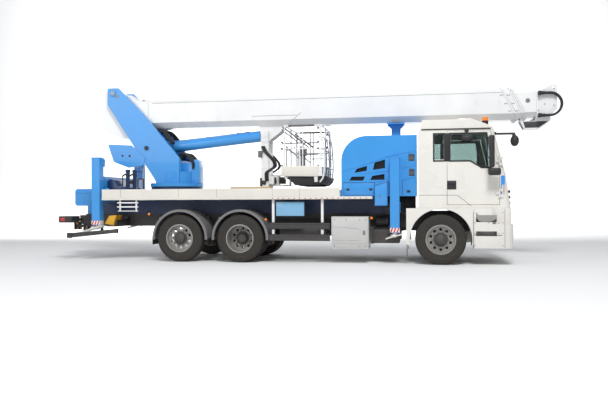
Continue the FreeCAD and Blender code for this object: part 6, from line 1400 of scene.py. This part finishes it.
# The basket: welded tube and sheet, powder coated white, with a cream toe board, grey
# rails and diagonals on its sides and a curved lattice at its outer end.
dress(basket_white, "basket")
low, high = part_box("basket_base")
basket_near, basket_far, basket_half = -3.400, -2.550, 0.750
basket_low, basket_top, toe_top = 1.850, 2.950, 2.060
toe_mesh = bmesh.new()
for sign in (1, -1):
    plate(toe_mesh, [(basket_near + 0.006, basket_low + 0.004), (basket_far - 0.010, basket_low - 0.010),
                     (basket_far - 0.004, toe_top + 0.010), (basket_near + 0.010, toe_top + 0.014)],
          sign * basket_half, sign * (basket_half + 0.006), 0.002)
    for x in (basket_near + 0.040, -2.980, basket_far - 0.050):
        rod(toe_mesh, at(x, sign * (basket_half + 0.004), toe_top - 0.030),
            at(x, sign * (basket_half + 0.010), toe_top - 0.030), 0.011, segments=6)
finished("toe_boards", toe_mesh, deck_cream, "basket")
rail_mesh = bmesh.new()
curve_mesh = bmesh.new()
side_y = basket_half - 0.024
for sign in (1, -1):
    y = sign * side_y
    bars(rail_mesh, 1, [
        (basket_near + 0.030, y, 2.570, basket_far - 0.030, y, 2.570, 0.014),
        (-2.960, y, 2.320, basket_far - 0.030, y, 2.320, 0.014),
        (-3.270, y, 2.520, -3.270, y, 2.050, 0.014),
        (-3.270, y, 2.490, -2.990, y, 2.230, 0.014),
        (basket_near + 0.040, y, 2.930, -2.910, y, 2.590, 0.019),
        (basket_near + 0.035, y, 2.860, -3.020, y, 2.590, 0.015)], segments=12)
    for x in (-2.985, -2.915):
        rod(curve_mesh, at(x, y, toe_top - 0.010), at(x, y, basket_top), 0.014, segments=12)
    pipe(curve_mesh, [at(x, y, z) for x, z in
                      ((basket_far - 0.020, basket_top - 0.010), (-2.490, 2.720), (-2.455, 2.480),
                       (-2.440, 2.200),
                       (-2.445, 1.960), (-2.475, 1.810), (-2.540, 1.720))], 0.019, segments=12)
    for z, reach in ((2.700, 0.060), (2.300, 0.106), (1.940, 0.104)):
        rod(rail_mesh, at(basket_far - 0.024, y, z), at(basket_far + reach, y, z), 0.009, segments=10)
for x, z in ((-2.488, 2.710), (-2.448, 2.380), (-2.442, 2.060), (-2.478, 1.810)):
    rod(curve_mesh, at(x, -side_y, z), at(x, side_y, z), 0.013, segments=12)
for number in range(3):
    y = side_y * (number - 1) / 2
    pipe(rail_mesh, [at(x, y, z) for x, z in
                     ((-2.488, 2.710), (-2.455, 2.480), (-2.440, 2.200), (-2.445, 1.960), (-2.478, 1.810))],
         0.011, segments=8)
finished("basket_rails", rail_mesh, tube_grey, "basket")
finished("basket_end_lattice", curve_mesh, basket_white, "basket")

# The basket's fittings: a control console with three levers on a post, a padded rail
# along the top, and joints that clamp the tubes.
console_mesh = bmesh.new()
blocks(console_mesh, 1, [
    (-3.090, -0.060, 1.920, -2.985, 0.060, 2.360, 0.010),
    (-3.110, -0.150, 2.350, -2.965, 0.150, 2.520, 0.016)])
plate(console_mesh, [(-3.110, 2.510), (-2.965, 2.510), (-2.965, 2.530), (-3.110, 2.570)],
      -0.140, 0.140, 0.006)
for y in (-0.080, 0.0, 0.080):
    rod(console_mesh, at(-3.040, y, 2.530), at(-3.040, y, 2.610), 0.008)
    bmesh.ops.create_uvsphere(console_mesh, u_segments=14, v_segments=10, radius=0.016,
                              matrix=Matrix.Translation(at(-3.040, y, 2.612)))
finished("basket_console", console_mesh, tube_grey, "basket")
foam_mesh = bmesh.new()
clamp_mesh = bmesh.new()
for sign in (1, -1):
    y = sign * side_y
    rod(foam_mesh, at(-3.230, y, basket_top), at(-2.660, y, basket_top), 0.0225, segments=16)
    for x in (basket_near + 0.024, basket_far - 0.024):
        for z in (2.450, 2.590):
            rod(clamp_mesh, at(x, y, z - 0.022), at(x, y, z + 0.022), 0.0245, segments=16)
        rod(clamp_mesh, at(x, y, toe_top), at(x, y, toe_top + 0.040), 0.0245, segments=16)
    rod(clamp_mesh, at(basket_far - 0.024, y, 2.870), at(basket_far - 0.024, y, 2.915), 0.026, segments=16)
finished("basket_rail_foam", foam_mesh, tube_grey, "basket")
finished("basket_clamps", clamp_mesh, tube_grey, "basket")

# The tray under the basket: moulded black rubber with ribs along it, turned up at the
# outer end, on two steel cross bars.
tray_x, tray_top = (low[0] - front_axle, high[0] - front_axle), high[2]
tray_mesh = bmesh.new()
outer = [(tray_x[0], tray_top), (tray_x[0] + 0.050, tray_top - 0.100), (tray_x[0] + 0.130, tray_top - 0.185),
         (tray_x[0] + 0.200, tray_top - 0.195), (tray_x[1] - 0.200, tray_top - 0.195),
         (tray_x[1] - 0.090, tray_top - 0.170),
         (tray_x[1] - 0.020, tray_top - 0.100), (tray_x[1] + 0.010, tray_top - 0.020),
         (tray_x[1] + 0.010, tray_top)]
plate(tray_mesh, outer, -0.700, 0.700, 0.010)
for number in range(9):
    y = -0.640 + 0.160 * number
    plate(tray_mesh, [(x + (0.004 if step > 4 else -0.004), z - 0.008)
                      for step, (x, z) in enumerate(outer[1:-1])]
          + [(tray_x[1] - 0.050, tray_top - 0.060), (tray_x[0] + 0.100, tray_top - 0.060)],
          y - 0.018, y + 0.018)
tray = finished("basket_tray", tray_mesh, dark_plastic, "basket", 30)
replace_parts(tray, "basket_base")
foot_mesh = bmesh.new()
for x in (-3.290, -2.640):
    slab(foot_mesh, at(x - 0.030, -0.725, 1.790), at(x + 0.030, 0.725, 1.849), 0.005)
for sign in (1, -1):
    slab(foot_mesh, at(-2.660, sign * 0.690, 1.720), at(-2.590, sign * 0.740, 1.850), 0.005)
finished("tray_cross_bars", foot_mesh, basket_white, "basket")
